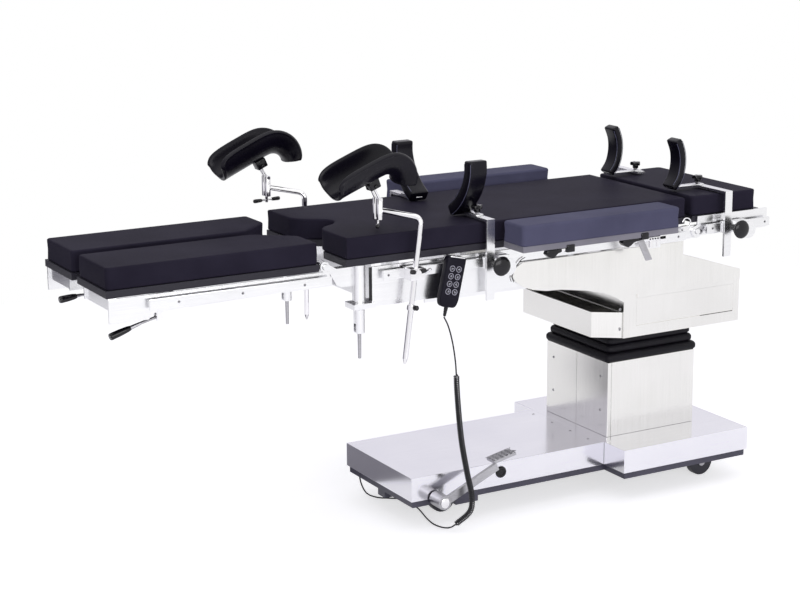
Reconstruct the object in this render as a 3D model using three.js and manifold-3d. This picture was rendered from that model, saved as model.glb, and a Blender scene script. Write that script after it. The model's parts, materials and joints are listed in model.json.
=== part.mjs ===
// Operating table with a carbon fiber top: millimetres, +X to the head end, +Z up.
// Lengths along the table are measured from the seam between the two base covers.
import * as THREE from 'three';
import { mergeVertices } from 'three/addons/utils/BufferGeometryUtils.js';
import Module from 'manifold-3d';

const wasm = await Module();
wasm.setup();

// Base and column
const baseFootLength = 688;
const baseHeadLength = 480;
const baseFootWidth = 404;
const baseHeadWidth = 615;
const coverBottom = 95;
const coverHeight = 73;
const coverSheet = 2.5;
const columnStart = 34;
const columnLength = 334;
const columnWidth = 336;
const columnSheet = 2;
const bellowsHeight = 98;

// Tilting housing, tray and saddle
const housingStart = 29;
const housingLength = 445;
const housingWidth = 500;
const housingHeight = 155;
const housingSheet = 3;
const trayReach = 76;
const trayHeight = 80;
const trayFaceWidth = 376;
const trayMouthWidth = 486;
const saddleReach = 408;
const saddleHeight = 126;
const towerDrop = 258;

// Table top: the long middle section, the head section and the two leg sections
const topHeight = 918;
const topWidth = 500;
const padThickness = 60;
const boardThickness = 20;
const boardLip = 4;
const middleFootEnd = -916;
const middleHeadEnd = 250;
const cutoutWidth = 232;
const cutoutDepth = 88;
const sidePlateDepth = 123;
const sidePlateSheet = 6;
const headGap = 32;
const headLength = 248;
const headNarrowing = 6;
const headRailReach = 39;
const headHingeReach = 46;
const headHingeDrop = 108;
const legGap = 79;
const legLength = 616;
const legDrop = 7;
const legSplit = 49;
const legNarrowing = 39;
const legHingeGap = 61;
const legHingeDrop = 76;
const swingReach = 47;
const swingInset = 21;

// Side rails and what is clamped on them
const railHeight = 27;
const railThick = 8;
const railOffset = 12;
const railDrop = 100;
const postDiameter = 16;
const handsetWidth = 62;
const handsetHeight = 146;
const handsetThick = 24;
const armLength = 554;
const armWidth = 112;
const armThick = 60;
const cordDiameter = 4.6;
const curlWire = 3.8;
const curlRadius = 7.2;

// Clearances and round-shape counts
const gap = 0.3;
const pinGap = 0.5;
const overrun = 5;
const bite = 1;
const roundSides = 12;
const smallSides = 8;
const wheelSides = 24;
const arcSteps = 2;
const weld = 0.0001;
const degree = Math.PI / 180;

// Heights and places worked out from the driving sizes; the column cover takes up what is left below the bellows
const coverTop = coverBottom + coverHeight;
const columnBottom = coverTop + gap;
const housingTop = topHeight - towerDrop;
const housingBottom = housingTop - housingHeight;
const columnHeight = housingBottom - bellowsHeight - coverTop;
const columnTop = coverTop + columnHeight;
const columnCentre = columnStart + columnLength / 2;
const housingEnd = housingStart + housingLength;
const padBottom = topHeight - padThickness;
const boardTop = padBottom - gap;
const boardBottom = boardTop - boardThickness;
const frameTop = boardBottom - gap;
const frameHalf = topWidth / 2;
const frameBottom = frameTop - sidePlateDepth;
const railBottom = topHeight - railDrop - railHeight;
const railTop = railBottom + railHeight;
const railInner = frameHalf + railOffset;
const railOuter = railInner + railThick;
const legTop = topHeight - legDrop;
const legPadBottom = legTop - padThickness;
const legBoardTop = legPadBottom - gap;
const legBoardBottom = legBoardTop - boardThickness;
const legFrameTop = legBoardBottom - gap;
const headStart = middleHeadEnd + headGap;
const headEnd = headStart + headLength;
const headWidth = topWidth - headNarrowing;
const headRailEnd = headEnd + headRailReach;
const headHingeX = middleHeadEnd + headHingeReach;
const legEnd = middleFootEnd - legGap;
const legStart = legEnd - legLength;
const legOuterWidth = topWidth - legNarrowing;
const legHingeX = middleFootEnd - legHingeGap;
const swingX = middleFootEnd + swingReach;
const swingHalf = frameHalf - swingInset;
const sides = { left: -1, right: 1 };

// Solids and geometry
function solid(geometry) {
  const plain = geometry.clone();
  plain.deleteAttribute('normal');
  plain.deleteAttribute('uv');
  const merged = mergeVertices(plain, weld);
  return new wasm.Manifold(new wasm.Mesh({
    numProp: 3,
    vertProperties: new Float32Array(merged.attributes.position.array),
    triVerts: new Uint32Array(merged.index.array),
  }));
}

function geometryOf(shape) {
  const mesh = shape.getMesh();
  const geometry = new THREE.BufferGeometry();
  geometry.setAttribute('position', new THREE.BufferAttribute(mesh.vertProperties, 3));
  geometry.setIndex(new THREE.BufferAttribute(mesh.triVerts, 1));
  geometry.computeVertexNormals();
  return geometry;
}

function join(...shapes) {
  return shapes.reduce((all, shape) => all.add(shape));
}

function cut(shape, ...tools) {
  return tools.reduce((rest, tool) => rest.subtract(tool), shape);
}

// A rectangular block between two values on each axis
function block([x0, x1], [y0, y1], [z0, z1]) {
  const geometry = new THREE.BoxGeometry(x1 - x0, y1 - y0, z1 - z0);
  geometry.translate((x0 + x1) / 2, (y0 + y1) / 2, (z0 + z1) / 2);
  return solid(geometry);
}

// Values on both sides of a centre, and the same pair on the left or right of the table
const about = (centre, half) => [centre - half, centre + half];
const onSide = (side, inner, outer) => (side < 0 ? [-outer, -inner] : [inner, outer]);

// A shape from a list of corners; a shape that is ready stays as it is
function shapeOf(points) {
  return Array.isArray(points) ? new THREE.Shape(points.map(([u, v]) => new THREE.Vector2(u, v))) : points;
}

// A flat outline drawn in X and Y, pushed up from z0 to z1
function slabXY(points, [z0, z1]) {
  const shape = shapeOf(points);
  const geometry = new THREE.ExtrudeGeometry(shape, { depth: z1 - z0, bevelEnabled: false, curveSegments: arcSteps });
  geometry.translate(0, 0, z0);
  return solid(geometry);
}

// A flat outline drawn in X and Z, pushed along Y from y0 to y1
function slabXZ(points, [y0, y1]) {
  const shape = shapeOf(points);
  const geometry = new THREE.ExtrudeGeometry(shape, { depth: y1 - y0, bevelEnabled: false, curveSegments: arcSteps });
  geometry.rotateX(90 * degree);
  geometry.translate(0, y1, 0);
  return solid(geometry);
}

// A round bar between two points, tapered when the second radius differs
function bar(from, to, radius, endRadius = radius, count = roundSides) {
  const a = new THREE.Vector3(...from);
  const b = new THREE.Vector3(...to);
  const along = b.clone().sub(a);
  const geometry = new THREE.CylinderGeometry(endRadius, radius, along.length(), count);
  geometry.applyQuaternion(new THREE.Quaternion().setFromUnitVectors(
    new THREE.Vector3(0, 1, 0), along.normalize()));
  geometry.translate(...a.add(b).multiplyScalar(0.5).toArray());
  return solid(geometry);
}

function ball(centre, radius) {
  const geometry = new THREE.SphereGeometry(radius, smallSides, smallSides / 2);
  geometry.translate(...centre);
  return solid(geometry);
}

// A rectangle with round corners, as a shape in its own plane
function roundedRectangle([x0, x1], [y0, y1], radius) {
  const shape = new THREE.Shape();
  shape.moveTo(x0 + radius, y0);
  shape.lineTo(x1 - radius, y0);
  shape.absarc(x1 - radius, y0 + radius, radius, -90 * degree, 0);
  shape.lineTo(x1, y1 - radius);
  shape.absarc(x1 - radius, y1 - radius, radius, 0, 90 * degree);
  shape.lineTo(x0 + radius, y1);
  shape.absarc(x0 + radius, y1 - radius, radius, 90 * degree, 180 * degree);
  shape.lineTo(x0, y0 + radius);
  shape.absarc(x0 + radius, y0 + radius, radius, 180 * degree, 270 * degree);
  return shape;
}

// A round tube section swept along a curve
function tube(curve, radius, steps, count) {
  const section = new THREE.Shape();
  section.absarc(0, 0, radius, 0, 2 * Math.PI);
  const ring = new THREE.Shape(section.getPoints(count).slice(0, count));
  return new THREE.ExtrudeGeometry(ring, { steps, extrudePath: curve, curveSegments: count });
}

// Rings of points joined into one closed skin; each end ring closes on itself like a ladder
function loft(rings) {
  const count = rings[0].length;
  const positions = rings.flat().flatMap((point) => point.toArray());
  const index = [];
  for (let ring = 0; ring < rings.length - 1; ring++) {
    for (let side = 0; side < count; side++) {
      const a = ring * count + side;
      const b = ring * count + (side + 1) % count;
      index.push(a, b, b + count, a, b + count, a + count);
    }
  }
  const last = (rings.length - 1) * count;
  for (let low = 0, high = count - 1; low + 1 < high; low++, high--) {
    index.push(low, high, low + 1, last + low, last + low + 1, last + high);
    if (low + 2 < high) {
      index.push(low + 1, high, high - 1, last + low + 1, last + high - 1, last + high);
    }
  }
  const geometry = new THREE.BufferGeometry();
  geometry.setAttribute('position', new THREE.Float32BufferAttribute(positions, 3));
  geometry.setIndex(index);
  return outward(geometry);
}

// A closed skin whose faces point in is turned the other way round
function outward(geometry) {
  const at = geometry.attributes.position;
  const index = geometry.index;
  const corner = [0, 1, 2].map(() => new THREE.Vector3());
  let volume = 0;
  for (let face = 0; face < index.count; face += 3) {
    corner.forEach((point, k) => point.fromBufferAttribute(at, index.getX(face + k)));
    volume += corner[0].dot(corner[1].cross(corner[2]));
  }
  if (volume < 0) {
    for (let face = 0; face < index.count; face += 3) {
      const first = index.getX(face);
      index.setX(face, index.getX(face + 1));
      index.setX(face + 1, first);
    }
  }
  geometry.computeVertexNormals();
  return geometry;
}

// Materials
const finish = (color, roughness, metalness) => new THREE.MeshStandardMaterial({ color, roughness, metalness });
const finishes = {
  stainless: finish(0xdcdadf, 0.32, 0.9),
  steel: finish(0xc9c8cc, 0.4, 0.9),
  chrome: finish(0xe6e6e8, 0.15, 1),
  castIron: finish(0x4b4960, 0.6, 0.3),
  board: finish(0x47454d, 0.5, 0.1),
  padding: finish(0x2d2935, 0.55, 0),
  moulded: finish(0x24222b, 0.4, 0),
  rubber: finish(0x15131c, 0.7, 0),
};

const table = new THREE.Group();
const cordNames = ['cord_top', 'curly_cord', 'cord_low'];

function piece(name, shape, material, parent = table) {
  const mesh = new THREE.Mesh(shape.isBufferGeometry ? shape : geometryOf(shape), finishes[material]);
  mesh.name = name;
  parent.add(mesh);
  return mesh;
}

// A named pivot marks where a joint turns or slides
function pivot(name, position, parent = table) {
  const group = new THREE.Group();
  group.name = name;
  group.position.set(...position);
  parent.add(group);
  return group;
}

// The same shape turned and moved, ready to be joined to another
function moved(shape, [x, y, z], [aroundX, aroundY, aroundZ] = [0, 0, 0]) {
  const geometry = geometryOf(shape);
  geometry.applyMatrix4(new THREE.Matrix4().makeRotationFromEuler(
    new THREE.Euler(aroundX, aroundY, aroundZ, 'ZYX')));
  geometry.translate(x, y, z);
  return solid(geometry);
}

// Base chassis: iron tray with a hanging skirt, column guide, brake spindle, gland and feet
const skirtDrop = 21;
const skirtInset = 6.5;
const skirtWall = 8;
const chassisRise = 13;
const chassisThick = 16;
const guideHalf = 90;
const guideWall = 10;
const guideShort = 12;
const spindleInset = 78;
const spindleRise = 3;
const spindleRadius = 8;
const spindleCap = 3;
const hubRadius = 22;
const hubStand = 5;
const hubLength = 56;
const brakeBoxInset = 154;
const brakeBoxLength = 72;
const brakeBoxDepth = 30;
const brakeBoxDrop = 12;
const brakeBoxRise = 6;
const inletInset = 10;
const inletLength = 44;
const inletDrop = 22;
const glandInset = 33;
const glandSideInset = 22;
const glandRise = 10;
const glandRadius = 8;
const brakeFootInset = 28;
const brakeFootY = 140;
const brakeFootClear = 4;
const brakeFootRadius = 18;
const skirtBottom = coverBottom - skirtDrop;
const spindleX = -baseFootLength + spindleInset;
const spindleZ = coverBottom + spindleRise;
const brakeBoxStart = -baseFootLength + brakeBoxInset;
const inletStart = -baseFootLength + inletInset;
const glandX = -baseFootLength + glandInset;
const glandY = baseFootWidth / 2 - glandSideInset;
const glandZ = skirtBottom + glandRise;
const brakeFootX = baseHeadLength - brakeFootInset;
const chassisBottom = coverBottom + chassisRise;
const chassisTop = chassisBottom + chassisThick;
const hubInner = baseFootWidth / 2 + hubStand;
const hubOuter = hubInner + hubLength;
const flangeInset = coverSheet + gap;

function teeOutline(inset) {
  const foot = baseFootWidth / 2 - inset;
  const head = baseHeadWidth / 2 - inset;
  return [
    [-baseFootLength + inset, -foot], [inset, -foot], [inset, -head], [baseHeadLength - inset, -head],
    [baseHeadLength - inset, head], [inset, head], [inset, foot], [-baseFootLength + inset, foot],
  ];
}

function baseChassis() {
  const plate = slabXY(teeOutline(flangeInset), [chassisBottom, chassisTop]);
  const skirt = cut(
    slabXY(teeOutline(skirtInset), [skirtBottom, chassisBottom + bite]),
    slabXY(teeOutline(skirtInset + skirtWall), [skirtBottom - overrun, chassisBottom]),
  );
  const guide = cut(
    block(about(columnCentre, guideHalf), about(0, guideHalf), [chassisTop - bite, columnTop - guideShort]),
    block(about(columnCentre, guideHalf - guideWall), about(0, guideHalf - guideWall), [chassisTop, columnTop]),
  );
  const spindle = bar([spindleX, -baseFootWidth / 2 + skirtInset + bite, spindleZ],
    [spindleX, -hubOuter - gap - bite, spindleZ], spindleRadius);
  const cap = bar([spindleX, -hubOuter - gap, spindleZ],
    [spindleX, -hubOuter - gap - spindleCap, spindleZ], spindleRadius + spindleCap);
  const brakeBox = block([brakeBoxStart, brakeBoxStart + brakeBoxLength],
    [-baseFootWidth / 2 + skirtInset, -baseFootWidth / 2 + skirtInset + brakeBoxDepth],
    [skirtBottom - brakeBoxDrop, skirtBottom + brakeBoxRise]);
  const inlet = block([inletStart, inletStart + inletLength], about(0, inletLength / 2),
    [skirtBottom - inletDrop, chassisBottom + bite]);
  const gland = bar([glandX, glandY, glandZ], [glandX, glandY, chassisBottom + bite],
    glandRadius, glandRadius, smallSides);
  const feet = Object.values(sides).map((side) => bar(
    [brakeFootX, side * brakeFootY, brakeFootClear], [brakeFootX, side * brakeFootY, chassisBottom + bite],
    brakeFootRadius, brakeFootRadius, smallSides));
  return join(plate, skirt, guide, spindle, cap, brakeBox, inlet, gland, ...feet);
}
piece('base_chassis', baseChassis(), 'castIron');

// Base covers: two folded stainless boxes over the chassis, open underneath
const socketInset = 308;
const socketHigh = 42;
const socketRadius = 20;
const socketRise = 2;
const guideOpening = 13;
const socketX = -baseFootLength + socketInset;
const socketZ = coverBottom + socketHigh;

function footCover() {
  const half = baseFootWidth / 2;
  const shell = cut(
    block([-baseFootLength, -gap], about(0, half), [coverBottom, coverTop]),
    block([-baseFootLength + coverSheet, overrun], about(0, half - coverSheet),
      [coverBottom - overrun, coverTop - coverSheet]),
    block(about(spindleX, spindleRadius + pinGap), [-half - overrun, -half + overrun],
      [coverBottom - overrun, spindleZ + spindleRadius + pinGap]),
  );
  const socket = bar([socketX, -half + bite, socketZ], [socketX, -half - socketRise, socketZ], socketRadius);
  return join(shell, socket);
}

function headCover() {
  const half = baseHeadWidth / 2;
  const footHalf = baseFootWidth / 2 + gap;
  return cut(
    block([0, baseHeadLength], about(0, half), [coverBottom, coverTop]),
    block([coverSheet, baseHeadLength - coverSheet], about(0, half - coverSheet),
      [coverBottom - overrun, coverTop - coverSheet]),
    block([-overrun, coverSheet + overrun], about(0, footHalf), [coverBottom - overrun, coverTop - coverSheet]),
    block(about(columnCentre, guideHalf + guideOpening), about(0, guideHalf + guideOpening),
      [coverBottom, coverTop + overrun]),
  );
}
piece('base_cover_foot', footCover(), 'stainless');
piece('base_cover_head', headCover(), 'stainless');

// Column cover and the folded bellows on its rim
const columnSeamDepth = 0.8;
const columnSeamX = 14;
const bellowsTierShares = [[0, 0.34, 1.04], [0.3, 0.7, 0.96], [0.66, 1, 0.93]];
const bellowsBore = 0.74;

function columnCover() {
  const outer = block([columnStart, columnStart + columnLength], about(0, columnWidth / 2),
    [columnBottom, columnTop]);
  const inner = block([columnStart + columnSheet, columnStart + columnLength - columnSheet],
    about(0, columnWidth / 2 - columnSheet), [columnBottom - overrun, columnTop + overrun]);
  const seam = block([columnStart - overrun, columnStart + columnSeamDepth],
    about(0, columnSeamDepth), [columnBottom - overrun, columnTop + overrun]);
  const corner = block(about(columnStart + columnSeamX, columnSeamDepth),
    [-columnWidth / 2 - overrun, -columnWidth / 2 + columnSeamDepth], [columnBottom - overrun, columnTop + overrun]);
  return cut(outer, inner, seam, corner);
}

function bellows() {
  const bottom = columnTop + gap;
  const height = bellowsHeight - 2 * gap;
  const tiers = bellowsTierShares.map(([low, high, spread]) => block(
    about(columnCentre, columnLength / 2 * spread), about(0, columnWidth / 2 * spread),
    [bottom + low * height, bottom + high * height]));
  return cut(join(...tiers), block(about(columnCentre, columnLength / 2 * bellowsBore),
    about(0, columnWidth / 2 * bellowsBore), [bottom - overrun, bottom + height + overrun]));
}
piece('column_cover', columnCover(), 'stainless');
piece('bellows', bellows(), 'rubber');

// Brake pedal: a hub on the spindle, a cranked arm and a treaded tread plate
const pedalReach = 200;
const pedalSlope = 24 * degree;
const pedalArmWidth = 12;
const pedalArmDepth = 24;
const treadLength = 78;
const treadWidth = 44;
const treadThick = 9;
const treadRise = 5;
const treadSlope = 12 * degree;
const ridgeCount = 5;
const ridgeHeight = 2;

function brakePedal() {
  const hub = bar([0, -hubInner, 0], [0, -hubOuter, 0], hubRadius);
  const arm = moved(block([0, pedalReach], [-hubOuter + bite, -hubOuter + bite + pedalArmWidth],
    about(0, pedalArmDepth / 2)), [0, 0, 0], [0, -pedalSlope, 0]);
  const tread = block([0, treadLength], [-treadWidth, 0], [0, treadThick]);
  const spacing = treadLength / ridgeCount;
  const ridges = Array.from({ length: ridgeCount }, (_, k) => block(
    [(k + 0.25) * spacing, (k + 0.75) * spacing], [-treadWidth + ridgeHeight, -ridgeHeight],
    [treadThick - bite, treadThick + ridgeHeight]));
  const plate = moved(join(tread, ...ridges),
    [pedalReach * Math.cos(pedalSlope) - treadRise, -hubInner - bite,
      pedalReach * Math.sin(pedalSlope) + treadRise], [0, -treadSlope, 0]);
  const bore = bar([0, -hubInner + overrun, 0], [0, -hubOuter - overrun, 0], spindleRadius + pinGap);
  return cut(join(hub, arm, plate), bore);
}
const pedalPivot = pivot('brake_pedal_pivot', [spindleX, 0, spindleZ]);
piece('brake_pedal', brakePedal(), 'stainless', pedalPivot);

// Casters: swivelling forks under the chassis plate and their wheels
const wheelRadius = 42;
const wheelWidth = 26;
const casterTrail = 14;
const forkSheet = 3;
const forkSide = 1.5;
const forkHalfLength = 22;
const axleRadius = 6;
const bearingRadius = 22;
const bearingHeight = 10;
const casterHeadInset = 92;
const casterHeadSide = 107.5;
const casterFootInset = 188;
const casterFootSide = 126;
const casterHeadX = baseHeadLength - casterHeadInset;
const casterHeadY = baseHeadWidth / 2 - casterHeadSide;
const casterFootX = -baseFootLength + casterFootInset;
const casterFootY = baseFootWidth / 2 - casterFootSide;
const casterPlaces = {
  head_near: [casterHeadX, -casterHeadY], head_far: [casterHeadX, casterHeadY],
  foot_near: [casterFootX, -casterFootY], foot_far: [casterFootX, casterFootY],
};

function casterFork() {
  const top = chassisBottom - gap - bearingHeight;
  const inner = wheelWidth / 2 + forkSide;
  const bearing = bar([0, 0, top - bite], [0, 0, chassisBottom - gap], bearingRadius, bearingRadius, smallSides);
  const plate = block([-casterTrail - forkHalfLength / 2, forkHalfLength],
    about(0, inner + forkSheet), [top - forkSheet, top]);
  const cheeks = Object.values(sides).map((side) => join(
    slabXZ([[-casterTrail - axleRadius * 2, wheelRadius], [-casterTrail + axleRadius * 2, wheelRadius],
      [forkHalfLength, top], [-casterTrail - forkHalfLength / 2, top]], onSide(side, inner, inner + forkSheet)),
    bar([-casterTrail, side * inner, wheelRadius], [-casterTrail, side * (inner + forkSheet), wheelRadius],
      axleRadius * 2, axleRadius * 2, smallSides)));
  const axle = bar([-casterTrail, -inner - bite, wheelRadius], [-casterTrail, inner + bite, wheelRadius],
    axleRadius, axleRadius, smallSides);
  return join(bearing, plate, ...cheeks, axle);
}

function casterWheel() {
  return cut(
    bar([0, -wheelWidth / 2, 0], [0, wheelWidth / 2, 0], wheelRadius, wheelRadius, wheelSides),
    bar([0, -wheelWidth, 0], [0, wheelWidth, 0], axleRadius + pinGap, axleRadius + pinGap, smallSides),
  );
}
for (const [place, [x, y]] of Object.entries(casterPlaces)) {
  const swivel = pivot('caster_swivel_' + place, [x, y, 0]);
  piece('caster_fork_' + place, casterFork(), 'castIron', swivel);
  const hub = pivot('caster_axle_' + place, [-casterTrail, 0, wheelRadius], swivel);
  piece('caster_wheel_' + place, casterWheel(), 'moulded', hub);
}

// Lifting ram in the column guide and the cross that tilts in two directions on it
const ramFootClear = 6;
const ramNeck = 80;
const ramWall = 12;
const tiltRise = 55;
const tiltHeight = housingBottom + tiltRise;
const ramFoot = chassisTop + ramFootClear;
const ramTop = tiltHeight - ramNeck;
const earHalf = 30;
const earThick = 18;
const earOver = 25;
const crossHalf = 25;
const crossDepth = 15;
const tiltPin = 12;
const rollPinReach = 110;
const ramHalf = guideHalf - guideWall - gap - pinGap / 2;

function liftRam() {
  const tubeWall = cut(
    block(about(columnCentre, ramHalf), about(0, ramHalf), [ramFoot, ramTop]),
    block(about(columnCentre, ramHalf - ramWall), about(0, ramHalf - ramWall), [ramFoot - overrun, ramTop + overrun]),
  );
  const ears = Object.values(sides).map((side) => block(about(columnCentre, earHalf),
    onSide(side, ramHalf - earThick, ramHalf), [ramTop - ramWall, tiltHeight + earOver]));
  const bore = bar([columnCentre, -ramHalf - overrun, tiltHeight], [columnCentre, ramHalf + overrun, tiltHeight],
    tiltPin + pinGap);
  return cut(join(tubeWall, ...ears), bore);
}

function tiltCross() {
  return join(
    block(about(columnCentre, crossHalf), about(0, ramHalf - earThick - pinGap), about(tiltHeight, crossDepth)),
    bar([columnCentre, -ramHalf, tiltHeight], [columnCentre, ramHalf, tiltHeight], tiltPin),
    bar([columnCentre - rollPinReach, 0, tiltHeight], [columnCentre + rollPinReach, 0, tiltHeight], tiltPin),
  );
}
piece('lift_ram', liftRam(), 'steel');
piece('tilt_cross', tiltCross(), 'steel');

// Upper housing: hollow box with bearing plates, guide rails and the two saddle sheets
const housingOpenX = 115;
const housingOpenY = 108;
const bearingPlate = 14;
const bearingHalf = 40;
const panelInsetX = 48;
const panelLow = 35;
const panelHigh = 35;
const panelDepth = 1.5;
const guideOffset = 110;
const guideWidth = 30;
const guideRise = 30;
const guideInset = 6;
const guideHeadInset = 108;
const saddleInset = 3;
const saddleRise = 113;
const saddleStart = housingStart - saddleReach;
const saddleEnd = housingEnd - saddleInset;
const saddleLow = housingBottom + saddleRise;
const saddleTop = housingTop + saddleHeight;
const saddleStand = 3.3;
const saddleSheet = 3;
const saddleShares = [
  [0.0435, 1], [0.01, 0.9], [0, 0.792], [0.0141, 0.679], [0.045, 0.56], [0.0882, 0.482], [0.1447, 0.4286],
  [0.2, 0.4167], [0.3141, 0.3274], [0.3835, 0.2381], [0.4365, 0.125], [0.4765, 0], [0.4794, 0.131],
  [1, 0.131], [1, 0.3274], [0.7353, 0.75], [0.7353, 1],
];
const trayTop = housingBottom + trayHeight;

function upperHousing() {
  const half = housingWidth / 2;
  const box = cut(
    block([housingStart, housingEnd], about(0, half), [housingBottom, housingTop]),
    block([housingStart + housingSheet, housingEnd - housingSheet], about(0, half - housingSheet),
      [housingBottom + housingSheet, housingTop - housingSheet]),
    block(about(columnCentre, housingOpenX), about(0, housingOpenY), [housingBottom - overrun, housingTop - bearingHalf]),
    ...Object.values(sides).map((side) => block([housingStart + panelInsetX, housingEnd - panelInsetX / 2],
      onSide(side, half - panelDepth, half + overrun), [housingBottom + panelLow, housingTop - panelHigh])),
  );
  const plates = Object.values(sides).map((side) => cut(
    block(onSide(side, rollPinReach - bearingPlate, rollPinReach).map((x) => x + columnCentre),
      about(0, bearingHalf), [tiltHeight - bearingHalf, housingTop - bite]),
    bar([columnCentre - rollPinReach * 2, 0, tiltHeight], [columnCentre + rollPinReach * 2, 0, tiltHeight],
      tiltPin + pinGap),
  ));
  const guides = Object.values(sides).map((side) => block([housingStart + guideInset, housingEnd - guideHeadInset],
    about(side * guideOffset, guideWidth / 2), [housingTop - bite, housingTop + guideRise]));
  const length = saddleEnd - saddleStart;
  const height = saddleTop - saddleLow;
  const outline = saddleShares.map(([x, z]) => [saddleStart + x * length, saddleLow + z * height]);
  const saddles = Object.values(sides).map((side) => join(
    slabXZ(outline, onSide(side, half + saddleStand, half + saddleStand + saddleSheet)),
    block([housingStart + panelInsetX, housingEnd - panelInsetX / 2], onSide(side, half - bite, half + saddleStand + bite),
      [housingTop - panelHigh + bite * 2, housingTop - panelHigh / 3]),
  ));
  return join(box, ...plates, ...guides, ...saddles);
}

function housingTray() {
  const reach = housingStart - trayReach;
  const back = housingStart - gap;
  const outline = (inset, end) => [
    [reach + inset, -trayFaceWidth / 2 + inset], [end, -trayMouthWidth / 2 + inset],
    [end, trayMouthWidth / 2 - inset], [reach + inset, trayFaceWidth / 2 - inset],
  ];
  return cut(
    slabXY(outline(0, back), [housingBottom, trayTop]),
    slabXY(outline(housingSheet, back - housingSheet), [housingBottom + housingSheet, trayTop + overrun]),
  );
}
piece('upper_housing', upperHousing(), 'stainless');
piece('housing_tray', housingTray(), 'stainless');

// Rails with spacers, and the jaws that clamp on them
const spacerLength = 16;
const spacerTrim = 8;
const spacerReach = 267;
const armRailLength = 214;
const armRailInset = 6;
const clampWall = 3.5;
const clampJaw = 6;
const clampLip = 3;
const barThick = 8;
const barWidth = 27;
const knobRadius = 27;
const knobLength = 44;
const knobNeck = 12;

// A flat rail on spacers beside a plate whose face is at the given distance from the middle
function sideRail(side, [x0, x1], bottom, face, places) {
  const inner = face + railOffset;
  return join(
    block([x0, x1], onSide(side, inner, inner + railThick), [bottom, bottom + railHeight]),
    ...places.map((x) => block(about(x, spacerLength / 2), onSide(side, face - bite, inner + bite),
      [bottom + spacerTrim, bottom + railHeight - spacerTrim])),
  );
}

// A clamp body with two jaws behind the rail
function railClamp(side, [x0, x1], bottom, face, reach) {
  const inner = face + railOffset;
  return cut(
    block([x0, x1], onSide(side, inner - clampLip, inner + railThick + reach),
      [bottom - clampWall, bottom + railHeight + clampWall]),
    block([x0 - overrun, x1 + overrun], onSide(side, inner - gap, inner + railThick + gap),
      [bottom - gap, bottom + railHeight + gap]),
    block([x0 - overrun, x1 + overrun], onSide(side, inner - clampLip - overrun, inner),
      [bottom + clampJaw, bottom + railHeight - clampJaw]),
  );
}

// A cone-shaped clamping knob that points away from the table
function coneKnob(side, x, from, z) {
  return join(
    bar([x, side * (from - bite), z], [x, side * (from + knobNeck), z], knobRadius / 3, knobRadius / 3, smallSides),
    bar([x, side * (from + knobNeck - bite), z], [x, side * (from + knobLength), z], knobRadius / 2, knobRadius),
  );
}

// Main frame: side plates, cross members, sliding channels, pivot shelves and rails
const plateDrop = 8.4;
const plateInset = 78;
const plateLength = 488;
const railInset = 26;
const railShort = 46;
const upperStrip = 40;
const headHingeRadius = 15;
const headPin = 8;
const crossWidth = 24;
const crossSpans = [10, 260, 270, 280];
const channelInset = 316;
const channelWall = 8;
const channelLip = 18;
const shelfDrop = 188;
const shelfThick = 16;
const shelfDepth = 45;
const shelfShort = 15;
const journalRadius = 12;
const headHingeZ = topHeight - headHingeDrop;
const plateTop = frameTop - plateDrop;
const plateStart = middleFootEnd + plateInset;
const plateEnd = plateStart + plateLength;
const railStart = plateStart + railInset;
const railEnd = plateEnd - railShort;
const spacerMiddle = railStart + spacerReach;
const armRailEnd = middleHeadEnd - armRailInset;
const armRailStart = armRailEnd - armRailLength;
const channelStart = middleFootEnd + channelInset;
const crossPlaces = crossSpans.map((_, k) => channelStart
  + crossSpans.slice(0, k + 1).reduce((sum, span) => sum + span));
const shelfTop = topHeight - shelfDrop;
const shelfInner = frameHalf - shelfDepth;
const shelfOuter = frameHalf + railOffset;
const shelfEnd = middleFootEnd + shelfShort;
const sCurveShares = [[0, 1], [0.1, 0.92], [1, 0.66], [0.95, 0.5], [0.42, 0.43], [0.5, 0.3], [1, 0]];
const sCurveWidth = 47;

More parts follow.
